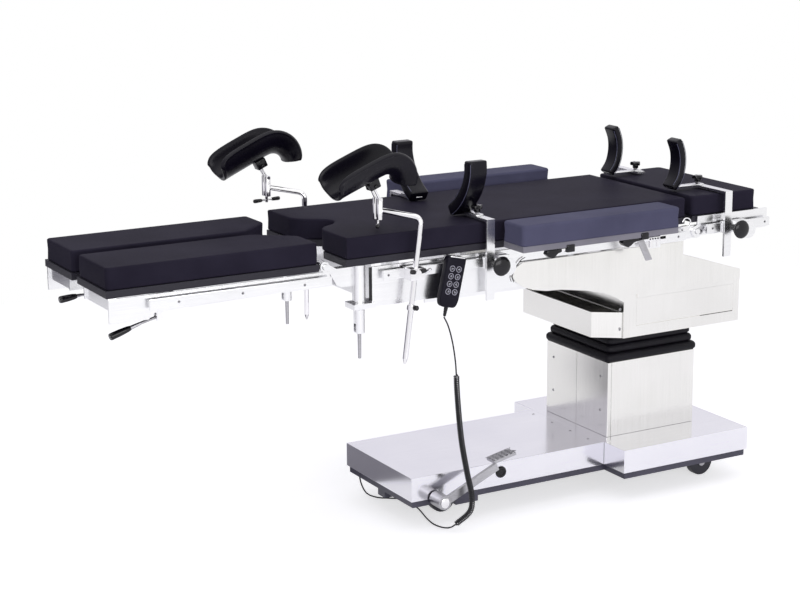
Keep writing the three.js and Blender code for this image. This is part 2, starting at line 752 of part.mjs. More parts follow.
function mainFrame() {
  const inner = frameHalf - sidePlateSheet;
  const stripBottom = plateTop - upperStrip;
  const curve = sCurveShares.map(([x, z]) => [
    plateEnd - sCurveWidth + x * sCurveWidth, frameBottom + z * (plateTop - frameBottom)]).reverse();
  const plates = Object.values(sides).map((side) => join(
    slabXZ([[plateStart, frameBottom], ...curve, [plateStart, plateTop]], onSide(side, inner, frameHalf)),
    block([plateEnd - sCurveWidth * 2, headHingeX], onSide(side, inner, frameHalf), [stripBottom, plateTop]),
    bar([headHingeX, side * inner, headHingeZ], [headHingeX, side * frameHalf, headHingeZ], upperStrip / 2),
    bar([headHingeX, side * inner, headHingeZ], [headHingeX, side * (frameHalf + railOffset), headHingeZ], headPin),
    sideRail(side, [railStart, railEnd], railBottom, frameHalf,
      [railStart + spacerLength, spacerMiddle, railEnd - spacerLength]),
    sideRail(side, [armRailStart, armRailEnd], railBottom, frameHalf,
      [armRailStart + spacerLength, armRailEnd - spacerLength]),
    cut(
      block([shelfEnd, plateStart + sidePlateSheet], onSide(side, shelfInner, shelfOuter),
        [shelfTop - shelfThick, shelfTop]),
      bar([swingX, side * swingHalf, shelfTop - shelfThick * 2], [swingX, side * swingHalf, shelfTop + shelfThick],
        journalRadius + pinGap),
    ),
    cut(
      block([channelStart, middleHeadEnd], about(side * guideOffset, guideWidth / 2 + gap + channelWall),
        [housingTop + guideRise - channelLip, housingTop + guideRise + gap + channelWall]),
      block([channelStart - overrun, middleHeadEnd + overrun], about(side * guideOffset, guideWidth / 2 + gap),
        [housingTop, housingTop + guideRise + gap]),
    ),
    ...crossPlaces.map((x) => block(about(x, crossWidth / 2), about(side * guideOffset, guideWidth / 2),
      [housingTop + guideRise + gap + channelWall - bite, stripBottom + bite])),
  ));
  const crosses = crossPlaces.map((x) => block(about(x, crossWidth / 2), about(0, inner + bite),
    [stripBottom, frameTop]));
  const end = block([plateStart, plateStart + crossWidth / 2], about(0, inner + bite), [shelfTop, frameTop]);
  return join(...plates, ...crosses, end);
}
piece('main_frame', mainFrame(), 'stainless');

// A cushion's outline ring at one height, drawn in by the given inset
function padRing([x0, x1], [y0, y1], radius, inset, z) {
  const shape = roundedRectangle([x0 + inset, x1 - inset], [y0 + inset, y1 - inset], Math.max(radius - inset, bite));
  const points = shape.getPoints(1).slice(0, -1);
  return points.map((point) => new THREE.Vector3(point.x, point.y, z));
}

// A cushion: square-sided foam with drawn-in edges and a slight crown
const padCorner = 14;
const padDraw = 3;
const padCrown = 2.5;
const crownInset = 40;
const padEdgeShares = [[0, 1], [0.1, 0.2], [0.3, 0], [0.7, 0], [0.9, 0.3], [0.97, 1.3]];

function cushion(xs, ys, [z0, z1]) {
  const height = z1 - z0 - padCrown;
  const rings = padEdgeShares.map(([level, draw]) => padRing(xs, ys, padCorner, draw * padDraw, z0 + level * height));
  rings.push(padRing(xs, ys, padCorner, padDraw * 3, z1 - padCrown));
  rings.push(padRing(xs, ys, padCorner, crownInset, z1));
  return loft(rings);
}

// Main board and pad, with the seat cut-out at the foot end
const cutoutRadius = 60;

function cutoutShape(grow) {
  const half = cutoutWidth / 2 + grow;
  const apex = middleFootEnd + cutoutDepth + grow;
  const shape = new THREE.Shape();
  shape.moveTo(middleFootEnd - overrun, -half - overrun);
  shape.lineTo(middleFootEnd - overrun, half + overrun);
  shape.quadraticCurveTo(middleFootEnd + overrun, half, middleFootEnd + cutoutDepth / 3, cutoutRadius);
  shape.quadraticCurveTo(apex, cutoutRadius / 2, apex, 0);
  shape.quadraticCurveTo(apex, -cutoutRadius / 2, middleFootEnd + cutoutDepth / 3, -cutoutRadius);
  shape.quadraticCurveTo(middleFootEnd + overrun, -half, middleFootEnd - overrun, -half - overrun);
  return shape;
}

function mainBoard() {
  return cut(
    block([middleFootEnd - boardLip, middleHeadEnd], about(0, frameHalf + boardLip / 2), [boardBottom, boardTop]),
    slabXY(cutoutShape(-boardLip), [boardBottom - overrun, boardTop + overrun]),
  );
}

function mainPad() {
  return cut(solid(cushion([middleFootEnd, middleHeadEnd], about(0, frameHalf), [padBottom, topHeight])),
    slabXY(cutoutShape(0), [padBottom - overrun, topHeight + overrun]));
}
piece('main_board', mainBoard(), 'board');
piece('main_pad', mainPad(), 'padding');

// Head section: frame on the head hinge, rails, board and pad
const headPlateSheet = 6;
const headPlateDrop = 121;
const headPlateDepth = 60;
const headRailInset = 36;
const headCrossReaches = [90, 266];
const headRailDrop = 113.5;
const headPlateBottom = topHeight - headPlateDrop;
const headPlateTop = headPlateBottom + headPlateDepth;
const headRailStart = headStart + headRailInset;
const headCrossPlaces = headCrossReaches.map((reach) => headStart + reach);
const headRailBottom = topHeight - headRailDrop;
const headPlateFace = frameHalf + gap + headPlateSheet;

function headFrame() {
  const inner = frameHalf + gap;
  const plates = Object.values(sides).map((side) => join(
    block([headHingeX, headRailEnd], onSide(side, inner, headPlateFace), [headPlateBottom, headPlateTop]),
    bar([headHingeX, side * inner, headHingeZ], [headHingeX, side * headPlateFace, headHingeZ], upperStrip / 2),
    sideRail(side, [headRailStart, headRailEnd - overrun], headRailBottom, headPlateFace,
      [headRailStart + spacerLength, headRailEnd - overrun - spacerLength]),
  ));
  const crosses = headCrossPlaces.map((x) => block(about(x, crossWidth / 2), about(0, inner + bite),
    [headHingeZ + headPin, frameTop]));
  const bore = bar([headHingeX, -headPlateFace * 2, headHingeZ], [headHingeX, headPlateFace * 2, headHingeZ],
    headPin + pinGap);
  return cut(join(...plates, ...crosses), bore);
}
piece('head_frame', headFrame(), 'stainless');
piece('head_board', block([headStart, headEnd + boardLip * 3], about(0, headWidth / 2 + bite),
  [boardBottom, boardTop]), 'board');
piece('head_pad', cushion([headStart, headEnd], about(0, headWidth / 2), [padBottom, topHeight]), 'padding');

// Leg sections: each swings on a post at the frame's foot end and folds down at a hinge
const postRadius = 19;
const postDrop = 82;
const journalDrop = 90;
const collarDrop = 22;
const collarRadius = 16;
const armDrop = 142;
const armDepth = 55;
const armInset = 3;
const armThickness = 26;
const postTop = topHeight - postDrop;
const journalFoot = shelfTop - journalDrop;
const collarTop = shelfTop - collarDrop;
const armBottom = topHeight - armDrop;
const armTop = armBottom + armDepth;
const armOuter = swingHalf - armInset;
const armInner = armOuter - armThickness;
const armNeck = 40;
const armShoulder = 15.5;
const hingeEar = 15;
const hingePin = 8;
const hingeOverlap = 40;
const cleviSlot = 6.5;
const cleviHalf = 14;
const cleviDepth = 28;
const releaseRise = 12;
const hingeReach = armOuter - hingeOverlap;
const cleviTop = journalFoot + cleviDepth;
const releaseZ = journalFoot + releaseRise;
const releasePin = 4;
const releaseLength = 86;
const releaseEye = 10;
const hingeZ = topHeight - legHingeDrop;

function legBracket(side) {
  const y = side * swingHalf;
  const ear = slabXZ([
    [legHingeX, hingeZ - hingeEar], [legHingeX + armShoulder, hingeZ - hingeEar],
    [legHingeX + armNeck, armBottom + hingeEar / 2], [legHingeX + armNeck + hingeEar, armBottom],
    [swingX, armBottom], [swingX, armTop], [legHingeX + armNeck, armTop], [legHingeX, hingeZ + hingeEar],
  ], onSide(side, armInner, armOuter));
  const knuckle = bar([legHingeX, side * armInner, hingeZ], [legHingeX, side * armOuter, hingeZ], hingeEar);
  const pin = bar([legHingeX, side * hingeReach, hingeZ], [legHingeX, side * (armOuter + hingeEar), hingeZ], hingePin);
  const post = bar([swingX, y, shelfTop + gap], [swingX, y, postTop], postRadius);
  const journal = bar([swingX, y, collarTop - bite], [swingX, y, shelfTop + bite], journalRadius);
  const collar = bar([swingX, y, journalFoot], [swingX, y, collarTop], collarRadius);
  const slot = block(about(swingX, postRadius * 2), about(y, cleviSlot), [journalFoot - overrun, cleviTop]);
  const releaseAxle = bar([swingX, y - cleviHalf, releaseZ], [swingX, y + cleviHalf, releaseZ],
    releasePin, releasePin, smallSides);
  return join(cut(join(ear, knuckle, pin, post, journal, collar), slot), releaseAxle);
}

// Release lever: a flat eye on the axle with a tapered round handle
function releaseLever() {
  const eye = bar([0, -cleviSlot + pinGap, 0], [0, cleviSlot - pinGap, 0], releaseEye, releaseEye, smallSides);
  const stem = bar([0, 0, -releaseEye / 2], [0, 0, -releaseLength], cleviSlot - pinGap, cleviSlot - pinGap * 3, smallSides);
  const bore = bar([0, -cleviHalf, 0], [0, cleviHalf, 0], releasePin + pinGap, releasePin + pinGap, smallSides);
  return cut(join(eye, stem), bore);
}

// Leg frame: side plate with a sloped foot end, inner plates, cross members, rail and lever ears
const legPlateStand = 5.5;
const legPlateSheet = 6;
const legPlateClear = 1.7;
const legPlateDeep = 66.7;
const legKickReach = 111;
const legKickRise = 16;
const legSlopeRise = 27;
const legInnerPlate = 54;
const innerEarInset = 48;
const innerEarSpan = 48;
const legCrossReaches = [13, 181, 511];
const legCrossHalf = 6;
const legRailInset = 108;
const legRailPast = 11;
const legSpacerReaches = [121, 383, 579];
const legPlateOuter = legOuterWidth / 2 + legPlateStand;
const legPlateTop = legFrameTop - legPlateClear;
const legPlateLow = legPlateTop - legPlateDeep;
const legPlateMid = legPlateLow + legKickRise;
const legPlateHigh = legPlateLow + legSlopeRise;
const legPlateFoot = legStart + bite;
const legPlateHead = legHingeX + hingeEar;
const legPlateKick = legStart + legKickReach;
const innerEar = legPlateOuter - innerEarInset;
const innerEarReach = innerEar - innerEarSpan;
const legCrossPlaces = legCrossReaches.map((reach) => legStart + reach);
const legRailStart = legStart + legRailInset;
const legRailEnd = legHingeX + legRailPast;
const legSpacers = legSpacerReaches.map((reach) => legStart + reach);
const leverEye = 9;
const leverPin = 4;
const leverHalf = 6;
const leverGripRadius = 9;
const leverPlaces = {
  near: { y: -180, pivotReach: 161, pivotDrop: 159, gripReach: 66, gripDrop: 184, grip: 92, slope: 17 * degree },
  far: { y: 80, pivotReach: 121, pivotDrop: 141, gripReach: 10, gripDrop: 141, grip: 62, slope: 6 * degree },
};
const leverAt = ({ pivotReach, pivotDrop, gripReach, gripDrop, ...rest }) => ({
  ...rest, pivotX: legStart + pivotReach, pivotZ: legTop - pivotDrop,
  gripX: legStart + gripReach, gripZ: legTop - gripDrop,
});

function legFrame(side, lever) {
  const outline = [
    [legPlateFoot, legPlateLow], [legPlateKick, legPlateLow], [legPlateKick + legPlateSheet * 3, legPlateMid],
    [legPlateHead, legPlateHigh], [legPlateHead, legPlateTop], [legPlateFoot, legPlateTop],
  ];
  const plate = slabXZ(outline, onSide(side, legPlateOuter - legPlateSheet, legPlateOuter));
  const inner = block([legPlateFoot, legEnd - hingeEar], onSide(side, legInnerPlate, legInnerPlate + legPlateSheet),
    [legPlateHigh + legCrossHalf, legPlateTop]);
  const hingePlate = block([legCrossPlaces[2] - legCrossHalf, legPlateHead],
    onSide(side, innerEar, innerEar + legPlateSheet), [legPlateHigh, legPlateTop]);
  const ears = [legPlateOuter - legPlateSheet, innerEar].map((y) => bar(
    [legHingeX, side * y, hingeZ], [legHingeX, side * (y + legPlateSheet), hingeZ], hingeEar));
  const crosses = legCrossPlaces.map((x) => block(about(x, legCrossHalf),
    onSide(side, legInnerPlate, legPlateOuter - bite), [legPlateHigh + legCrossHalf, legPlateTop]));
  const rests = block([legPlateFoot, legPlateFoot + legCrossHalf * 4],
    onSide(side, legInnerPlate, legPlateOuter - bite), [legPlateTop - bite, legFrameTop]);
  const rests2 = block([legCrossPlaces[2] - legCrossHalf, legCrossPlaces[2] + legCrossHalf],
    onSide(side, legInnerPlate, legPlateOuter - bite), [legPlateTop - bite, legFrameTop]);
  const rail = join(
    block([legRailStart, legRailEnd], onSide(side, legPlateOuter + railOffset, legPlateOuter + railOffset + railThick),
      [railBottom, railTop]),
    ...legSpacers.map((x) => block(about(x, spacerLength / 2),
      onSide(side, legPlateOuter - bite, legPlateOuter + railOffset + bite), [railBottom + spacerTrim, railTop - spacerTrim])),
  );
  const hanger = block([lever.pivotX - leverEye, lever.pivotX + leverEye],
    about(lever.y, leverHalf + legPlateSheet), [lever.pivotZ - leverEye, legPlateTop]);
  const bridge = block(onSide(1, lever.pivotX - leverEye, legCrossPlaces[1]), about(lever.y, leverHalf + legPlateSheet),
    [legPlateTop - legPlateSheet * 2, legPlateTop]);
  const mouth = block(about(lever.pivotX, leverEye * 2), about(lever.y, leverHalf),
    [lever.pivotZ - leverEye * 2, lever.pivotZ + leverEye * 2]);
  const axle = bar([lever.pivotX, lever.y - leverHalf - bite, lever.pivotZ],
    [lever.pivotX, lever.y + leverHalf + bite, lever.pivotZ], leverPin, leverPin, smallSides);
  const bore = bar([legHingeX, side * innerEarReach, hingeZ], [legHingeX, side * legPlateOuter * 2, hingeZ],
    hingePin + pinGap);
  return join(cut(join(plate, inner, hingePlate, ...ears, ...crosses, rests, rests2, rail, cut(join(hanger, bridge), mouth)),
    bore), axle);
}

// Leg lever: an eye, a thin rod and a round grip
function legLever(lever) {
  const dx = lever.gripX - lever.pivotX;
  const dz = lever.gripZ - lever.pivotZ;
  const along = [Math.cos(lever.slope), Math.sin(lever.slope)];
  const half = lever.grip / 2;
  const eye = bar([0, -leverHalf + pinGap, 0], [0, leverHalf - pinGap, 0], leverEye - bite, leverEye - bite, smallSides);
  const rod = bar([-leverEye / 2, 0, 0], [dx + half * along[0] - bite, 0, dz + half * along[1]],
    leverHalf - bite * 2, leverHalf - bite * 2, smallSides);
  const grip = bar([dx - half * along[0], 0, dz - half * along[1]], [dx + half * along[0], 0, dz + half * along[1]],
    leverGripRadius, leverGripRadius / 2, smallSides);
  const bore = bar([0, -leverHalf, 0], [0, leverHalf, 0], leverPin + pinGap, leverPin + pinGap, smallSides);
  return cut(join(eye, rod, grip), bore);
}

// The inner corner at the head end of each leg board and pad is cut off at a slant
const slantLength = 103;
const slantWidth = 88;

function legSlant(side, inner, [z0, z1]) {
  const corners = [
    [legEnd - slantLength * 2, side * (inner - slantWidth)],
    [legEnd + slantLength, side * (inner - slantWidth)],
    [legEnd + slantLength, side * (inner + slantWidth * 2)],
  ];
  return slabXY(corners, [z0 - overrun, z1 + overrun]);
}

function legBoard(side) {
  const inner = legSplit / 2 - boardLip;
  return cut(block([legStart - boardLip, legEnd + bite], onSide(side, inner, legOuterWidth / 2 + boardLip),
    [legBoardBottom, legBoardTop]), legSlant(side, inner, [legBoardBottom, legBoardTop]));
}

function legPad(side) {
  return cut(solid(cushion([legStart, legEnd], onSide(side, legSplit / 2, legOuterWidth / 2), [legPadBottom, legTop])),
    legSlant(side, legSplit / 2, [legPadBottom, legTop]));
}

for (const [place, side] of [['near', -1], ['far', 1]]) {
  const lever = leverAt(leverPlaces[place]);
  piece('leg_bracket_' + place, legBracket(side), 'steel');
  piece('release_lever_' + place, releaseLever(), 'chrome',
    pivot('release_pivot_' + place, [swingX, side * swingHalf, releaseZ]));
  piece('leg_frame_' + place, legFrame(side, lever), 'stainless');
  piece('leg_board_' + place, legBoard(side), 'board');
  piece('leg_pad_' + place, legPad(side), 'padding');
  piece('leg_lever_' + place, legLever(lever), 'moulded',
    pivot('leg_lever_pivot_' + place, [lever.pivotX, lever.y, lever.pivotZ]));
}

// A padded strip lofted along a path of places; each section is a rounded rectangle
const stripThick = 34;
const stripWidth = 60;
const stripCorner = 8;

function curvedStrip(places, width, thick) {
  const curve = new THREE.CatmullRomCurve3(places.map(([u, z]) => new THREE.Vector3(u, 0, z)));
  const section = roundedRectangle(about(0, thick / 2), about(0, width / 2), stripCorner).getPoints(1).slice(0, -1);
  const steps = 9;
  const rings = Array.from({ length: steps + 1 }, (_, k) => {
    const at = curve.getPointAt(k / steps);
    const along = curve.getTangentAt(k / steps);
    const across = new THREE.Vector3(along.z, 0, -along.x);
    const taper = k === 0 || k === steps ? 1 - stripCorner / width : 1;
    return section.map((point) => at.clone().addScaledVector(across, point.x * taper)
      .add(new THREE.Vector3(0, point.y * taper, 0)));
  });
  return loft(rings);
}

// Lateral supports: clamp, flat upright and cross bar, cone knob, and a curved pad on a sliding plate
const uprightGap = 1;
const crossBarRise = 4;
const crossBarBottom = topHeight + crossBarRise;
const slidePlate = 4;
const slidePlateHalf = 14;
const starRadius = 17;
const starHeight = 20;
const lateralPlaces = {
  near: { barReach: 450.5, footDrop: 225, knobReach: 484, knobDrop: 123, padReach: 436, starInset: 46 },
  far: { barReach: 446, footDrop: 225, knobReach: 480, knobDrop: 123, padReach: 445, starInset: 54 },
};
const lateralOffsets = [[132, 16], [90, 44], [50, 90], [31, 138], [31, 174]];
const lateralPath = lateralOffsets.map(([inset, rise]) => [frameHalf - inset, topHeight + rise]);
const crossBarSpan = 100;
const crossBarEnd = frameHalf - crossBarSpan;
const starNut = 6;

// A support's places, measured from the end of the section that it is clamped to
function supportAt(end, { barReach, footDrop, knobReach, knobDrop, padReach, starInset, ...rest }) {
  return {
    ...rest, barX: end + barReach, foot: topHeight - footDrop, knobX: end + knobReach, knobZ: topHeight - knobDrop,
    padX: end + padReach, starY: frameHalf - starInset,
  };
}

function supportBar(side, face, bottom, spec, barEnd) {
  const out = face + railOffset + railThick;
  const upright = [out + uprightGap, out + uprightGap + barThick];
  return join(
    railClamp(side, [spec.barX - barWidth / 2 - clampWall, spec.knobX + knobRadius], bottom, face, clampWall * 2),
    block(about(spec.barX, barWidth / 2), onSide(side, ...upright), [spec.foot, crossBarBottom + barThick]),
    block(about(spec.barX, barWidth / 2), onSide(side, barEnd, upright[1]), [crossBarBottom, crossBarBottom + barThick]),
    coneKnob(side, spec.knobX, out + clampWall * 2, spec.knobZ),
  );
}

function lateralPad(side, spec) {
  const strip = moved(solid(curvedStrip(lateralPath.map(([u, z]) => [side * u, z]), stripWidth, stripThick)),
    [spec.padX, 0, 0], [0, 0, 90 * degree]);
  const low = crossBarBottom + barThick + gap;
  return join(strip,
    block(about(spec.barX, slidePlateHalf), onSide(side, lateralPath[0][0], spec.starY + starRadius), [low, low + slidePlate]),
    bar([spec.barX, side * spec.starY, low + slidePlate - bite], [spec.barX, side * spec.starY, low + slidePlate + starNut],
      starNut, starNut, smallSides),
    bar([spec.barX, side * spec.starY, low + slidePlate + starNut - bite],
      [spec.barX, side * spec.starY, low + slidePlate + starNut + starHeight], starRadius, starRadius, smallSides));
}

// Shoulder supports: the same clamp and bars on the head rail, with a pad that faces the foot end
const shoulderPlaces = {
  near: { barReach: 110.5, footDrop: 192, knobReach: 158, knobDrop: 106, padShift: 0, padInset: 100, starReach: 100 },
  far: { barReach: 98, footDrop: 192, knobReach: 145, knobDrop: 106, padShift: -3, padInset: 76, starReach: 90 },
};
const shoulderWidth = 54;
const shoulderThick = 24;
const shoulderOffsets = [[-16, 14], [5, 44], [15, 84], [13, 124], [-2, 164]];
const shoulderPath = shoulderOffsets.map(([reach, rise]) => [headStart + reach, topHeight + rise]);

function shoulderPad(side, spec) {
  const strip = moved(solid(curvedStrip(shoulderPath, shoulderWidth, shoulderThick)), [spec.padShift, side * spec.padY, 0]);
  const low = crossBarBottom + barThick + gap;
  const starY = spec.padY - slidePlateHalf / 2;
  return join(strip,
    block([shoulderPath[0][0] + spec.padShift, spec.starX + starRadius], about(side * starY, slidePlateHalf),
      [low, low + slidePlate]),
    bar([spec.starX, side * starY, low + slidePlate - bite], [spec.starX, side * starY, low + slidePlate + starNut],
      starNut, starNut, smallSides),
    bar([spec.starX, side * starY, low + slidePlate + starNut - bite],
      [spec.starX, side * starY, low + slidePlate + starNut + starHeight], starRadius, starRadius, smallSides));
}

for (const [place, side] of [['near', -1], ['far', 1]]) {
  const lateral = supportAt(middleFootEnd, lateralPlaces[place]);
  const shoulder = supportAt(headStart, { ...shoulderPlaces[place], padReach: 0, starInset: 0 });
  shoulder.padY = frameHalf - shoulder.padInset;
  shoulder.starX = headStart + shoulder.starReach;
  piece('lateral_bar_' + place, supportBar(side, frameHalf, railBottom, lateral, crossBarEnd), 'stainless');
  piece('lateral_pad_' + place, lateralPad(side, lateral), 'moulded');
  piece('shoulder_bar_' + place, supportBar(side, headPlateFace, headRailBottom, shoulder,
    shoulder.padY - slidePlateHalf * 2), 'stainless');
  piece('shoulder_pad_' + place, shoulderPad(side, shoulder), 'moulded');
}

// Arm rests: a clamp with a pin, a board that swings on it and a long pad
const armClampInset = 152;
const armClampHalf = 26;
const armPin = 8;
const armHub = 17;
const armPinInset = 30;
const armBoardThick = 18;
const armPadPast = 22;
const armPadGap = 20;
const armPadDrop = 52;
const armRises = { near: 0, far: 18 };
const armClampX = middleHeadEnd - armClampInset;
const armStart = armClampX + armPadPast - armLength;
const armInnerFace = railOuter + armPadGap;
const armPadBottom = topHeight - armPadDrop;

for (const [place, side] of [['near', -1], ['far', 1]]) {
  const low = armPadBottom + armRises[place];
  const out = frameHalf + railOffset + railThick;
  const pinY = side * (out + armPinInset / 2 + clampWall);
  const clampTop = railTop + clampWall;
  const hubBottom = clampTop + gap;
  piece('arm_clamp_' + place, join(
    railClamp(side, about(armClampX, armClampHalf), railBottom, frameHalf, armPinInset),
    bar([armClampX, pinY, clampTop - bite], [armClampX, pinY, low - armBoardThick / 2], armPin),
  ), 'stainless');
  piece('arm_board_' + place, cut(join(
    block([armStart + boardLip, armStart + armLength - boardLip], onSide(side, armInnerFace + boardLip / 2,
      armInnerFace + armWidth - boardLip * 2), [low - gap - armBoardThick, low - gap]),
    bar([armClampX, pinY, hubBottom], [armClampX, pinY, low - gap], armHub),
    block([armClampX - armHub * 3, armClampX], onSide(side, out + clampWall, armInnerFace + armHub),
      [low - gap - armBoardThick, low - gap - armBoardThick / 2]),
  ), bar([armClampX, pinY, hubBottom - overrun], [armClampX, pinY, low - armBoardThick / 2 + gap], armPin + pinGap)), 'board');
  piece('arm_pad_' + place, cushion([armStart, armStart + armLength],
    onSide(side, armInnerFace, armInnerFace + armWidth - boardLip), [low, low + armThick]), 'padding');
}

// Leg supports: rail clamp, leaning post with a bent arm and ball head, and a curled padded trough
const clampHalf = 22;
const clampReach = 34;
const supportStand = 17;
const postStopDrop = 78;
const postStopRadius = 12;
const postStopLength = 12;
const headHalfX = 10;
const headHalfY = 7;
const headDrop = 44;
const headPinRadius = 5;
const headPinHalf = 16;
const lugRadius = 12;
const lugSheet = 6;
const teeReach = 30;
const teeRadius = 4.5;
const troughHalf = 58;
const troughWall = 13;
const troughFloor = 60;
const troughFootReach = 131;
const troughKneeReach = 30;
const kneeRadius = 42;
const curlAngle = 98 * degree;
const troughRimShares = [0.72, 0.92, 1, 1, 1, 0.97, 0.92, 0.83, 0.72, 0.6, 0.46];
const troughRim = 76;
const troughPoints = 6;
const clampRise = 8;
const supportPlaces = {
  near: {
    clampReach: 194, lean: 7.8 * degree, tip: 255, rise: 163, headAt: [131, -59, 88], yaw: 4 * degree,
    pitch: 20 * degree, roll: 8 * degree,
  },
  far: {
    clampReach: 142, lean: 0, tip: 243, rise: 150, headAt: [45, 99, 79], yaw: 0,
    pitch: 24 * degree, roll: -3 * degree,
  },
};
const legSupportY = railOuter + supportStand;
const clampMiddle = railBottom + clampRise;
const postStop = railBottom - postStopDrop;
const supportPlaced = ({ clampReach: reach, headAt: [along, out, up], ...rest }) => ({
  ...rest, clampX: middleFootEnd + reach, head: [middleFootEnd + along, frameHalf + out, topHeight + up],
});

function alongPost(spec, distance, side) {
  return [spec.clampX + distance * Math.sin(spec.lean), side * legSupportY, clampMiddle + distance * Math.cos(spec.lean)];
}

function supportClamp(side, spec) {
  const body = railClamp(side, about(spec.clampX, clampHalf), railBottom, frameHalf, clampReach);
  const bore = bar(alongPost(spec, -clampHalf * 3, side), alongPost(spec, clampHalf * 3, side), postDiameter / 2 + gap);
  const lever = bar([spec.clampX + clampHalf - bite, side * legSupportY, clampMiddle],
    [spec.clampX + clampHalf * 2, side * (legSupportY + postDiameter), clampMiddle + postDiameter], teeRadius, teeRadius, smallSides);
  return join(cut(body, bore), lever);
}

function supportPost(side, spec) {
  const radius = postDiameter / 2;
  const head = [spec.head[0], side * spec.head[1], spec.head[2]];
  const bend = alongPost(spec, spec.rise, side);
  const elbow = [head[0], head[1], head[2] - headDrop];
  const shaft = bar(alongPost(spec, -spec.tip + radius * 2, side), bend, radius);
  const tip = bar(alongPost(spec, -spec.tip, side), alongPost(spec, -spec.tip + radius * 2, side), radius / 3, radius);
  const stop = bar(alongPost(spec, postStop - clampMiddle - postStopLength, side),
    alongPost(spec, postStop - clampMiddle, side), postStopRadius);
  const arm = bar(bend, elbow, radius);
  const headPart = join(
    block(about(0, headHalfX), about(0, headHalfY), [-headDrop, 0]),
    bar([0, -headHalfY, 0], [0, headHalfY, 0], headHalfX),
    bar([0, -headPinHalf, 0], [0, headPinHalf, 0], headPinRadius),
    bar([0, 0, -headDrop * 0.7], [-teeReach, 0, -headDrop * 0.7], teeRadius, teeRadius, smallSides),
    bar([-teeReach, 0, -headDrop * 0.7 - teeReach / 2], [-teeReach, 0, -headDrop * 0.7 + teeReach / 2],
      teeRadius, teeRadius, smallSides),
  );
  return join(shaft, tip, stop, ball(bend, radius + bite), arm, ball(elbow, radius * 1.6),
    moved(headPart, head, [0, 0, side < 0 ? spec.yaw : -spec.yaw]));
}

// The trough's section is an open U; its floor runs straight and then curls down at the knee end
function trough(roll) {
  const straight = [0, 0.12, 0.35, 0.7, 1].map((share) => [-troughFootReach
    + share * (troughFootReach + troughKneeReach), 0, 0]);
  const curl = [1, 2, 3, 4, 5, 6].map((k) => {
    const angle = curlAngle * k / 6;
    return [troughKneeReach + kneeRadius * Math.sin(angle), -kneeRadius * (1 - Math.cos(angle)), angle];
  });
  const rings = [...straight, ...curl].map(([x, z, angle], k) => {
    const rim = troughRim * troughRimShares[k];
    const up = [Math.sin(angle), Math.cos(angle)];
    const outer = Array.from({ length: troughPoints + 1 }, (_, n) => {
      const turn = (n / troughPoints - 0.5) * Math.PI;
      return [troughHalf * Math.sin(turn), rim * (1 - Math.cos(turn))];
    });
    const inner = Array.from({ length: troughPoints + 1 }, (_, n) => {
      const turn = (0.5 - n / troughPoints) * Math.PI;
      return [(troughHalf - troughWall) * Math.sin(turn), troughWall + (rim - troughWall - bite) * (1 - Math.cos(turn))];
    });
    return [...outer, ...inner].map(([y, h]) => new THREE.Vector3(x + up[0] * h, y, z + up[1] * h));
  });
  const shell = moved(solid(loft(rings)), [0, 0, troughFloor], [roll, 0, 0]);
  const lugs = Object.values(sides).map((side) => {
    const ys = onSide(side, headHalfY + pinGap, headHalfY + pinGap + lugSheet);
    return join(bar([0, ys[0], 0], [0, ys[1], 0], lugRadius),
      block(about(0, lugRadius), ys, [0, troughFloor + troughWall / 2]));
  });
  const bore = bar([0, -headPinHalf * 2, 0], [0, headPinHalf * 2, 0], headPinRadius + pinGap);
  return cut(join(shell, ...lugs), bore);
}

for (const [place, side] of [['near', -1], ['far', 1]]) {
  const spec = supportPlaced(supportPlaces[place]);
  piece('support_clamp_' + place, supportClamp(side, spec), 'chrome');
  piece('support_post_' + place, supportPost(side, spec), 'chrome');
  const head = pivot('trough_pivot_' + place, [spec.head[0], side * spec.head[1], spec.head[2]]);
  head.rotation.set(0, -spec.pitch, side < 0 ? spec.yaw : -spec.yaw, 'ZYX');
  piece('leg_trough_' + place, trough(spec.roll), 'moulded', head);
}

// Handset: a slim case with eight flat keys that hooks over the rail
const handsetTilt = 12.8 * degree;
const handsetReach = 329;
const handsetDrop = 81;
const handsetStand = 16;
const handsetX = middleFootEnd + handsetReach;
const handsetTopZ = topHeight - handsetDrop;
const handsetY = -(railOuter + handsetStand);
const handsetCorner = 8;
const keyColumns = 2;
const keyRows = 4;
const keySize = 14;
const keyRise = 1;
const keyPitch = 22;
const keyTop = 34;
const hookHalf = 20;
const hookThick = 3;
const reliefRadius = 5.5;
const reliefLength = 28;

function handset() {
  const half = handsetThick / 2;
  const body = slabXZ(roundedRectangle(about(0, handsetWidth / 2), [-handsetHeight, 0], handsetCorner), [-half, half]);
  const keys = Array.from({ length: keyColumns * keyRows }, (_, k) => {
    const x = (k % keyColumns - (keyColumns - 1) / 2) * keyPitch;
    const z = -keyTop - Math.floor(k / keyColumns) * keyPitch;
    return block(about(x, keySize / 2), [-half - keyRise, -half + bite], about(z, keySize / 2));
  });
  const relief = bar([0, 0, -handsetHeight + bite], [0, 0, -handsetHeight - reliefLength],
    reliefRadius, reliefRadius * 0.7, smallSides);
  const hung = moved(join(body, ...keys, relief), [handsetX, handsetY, handsetTopZ], [0, handsetTilt, 0]);
  const railFace = -(frameHalf + railOffset);
  const hook = join(
    block(about(handsetX, hookHalf), [handsetY + half - bite, railFace + hookThick + gap],
      [railTop + gap, railTop + gap + hookThick]),
    block(about(handsetX, hookHalf), [railFace + gap, railFace + gap + hookThick],
      [railTop - clampJaw, railTop + gap + hookThick]),
  );
  return join(hung, hook);
}
piece('handset', handset(), 'moulded');

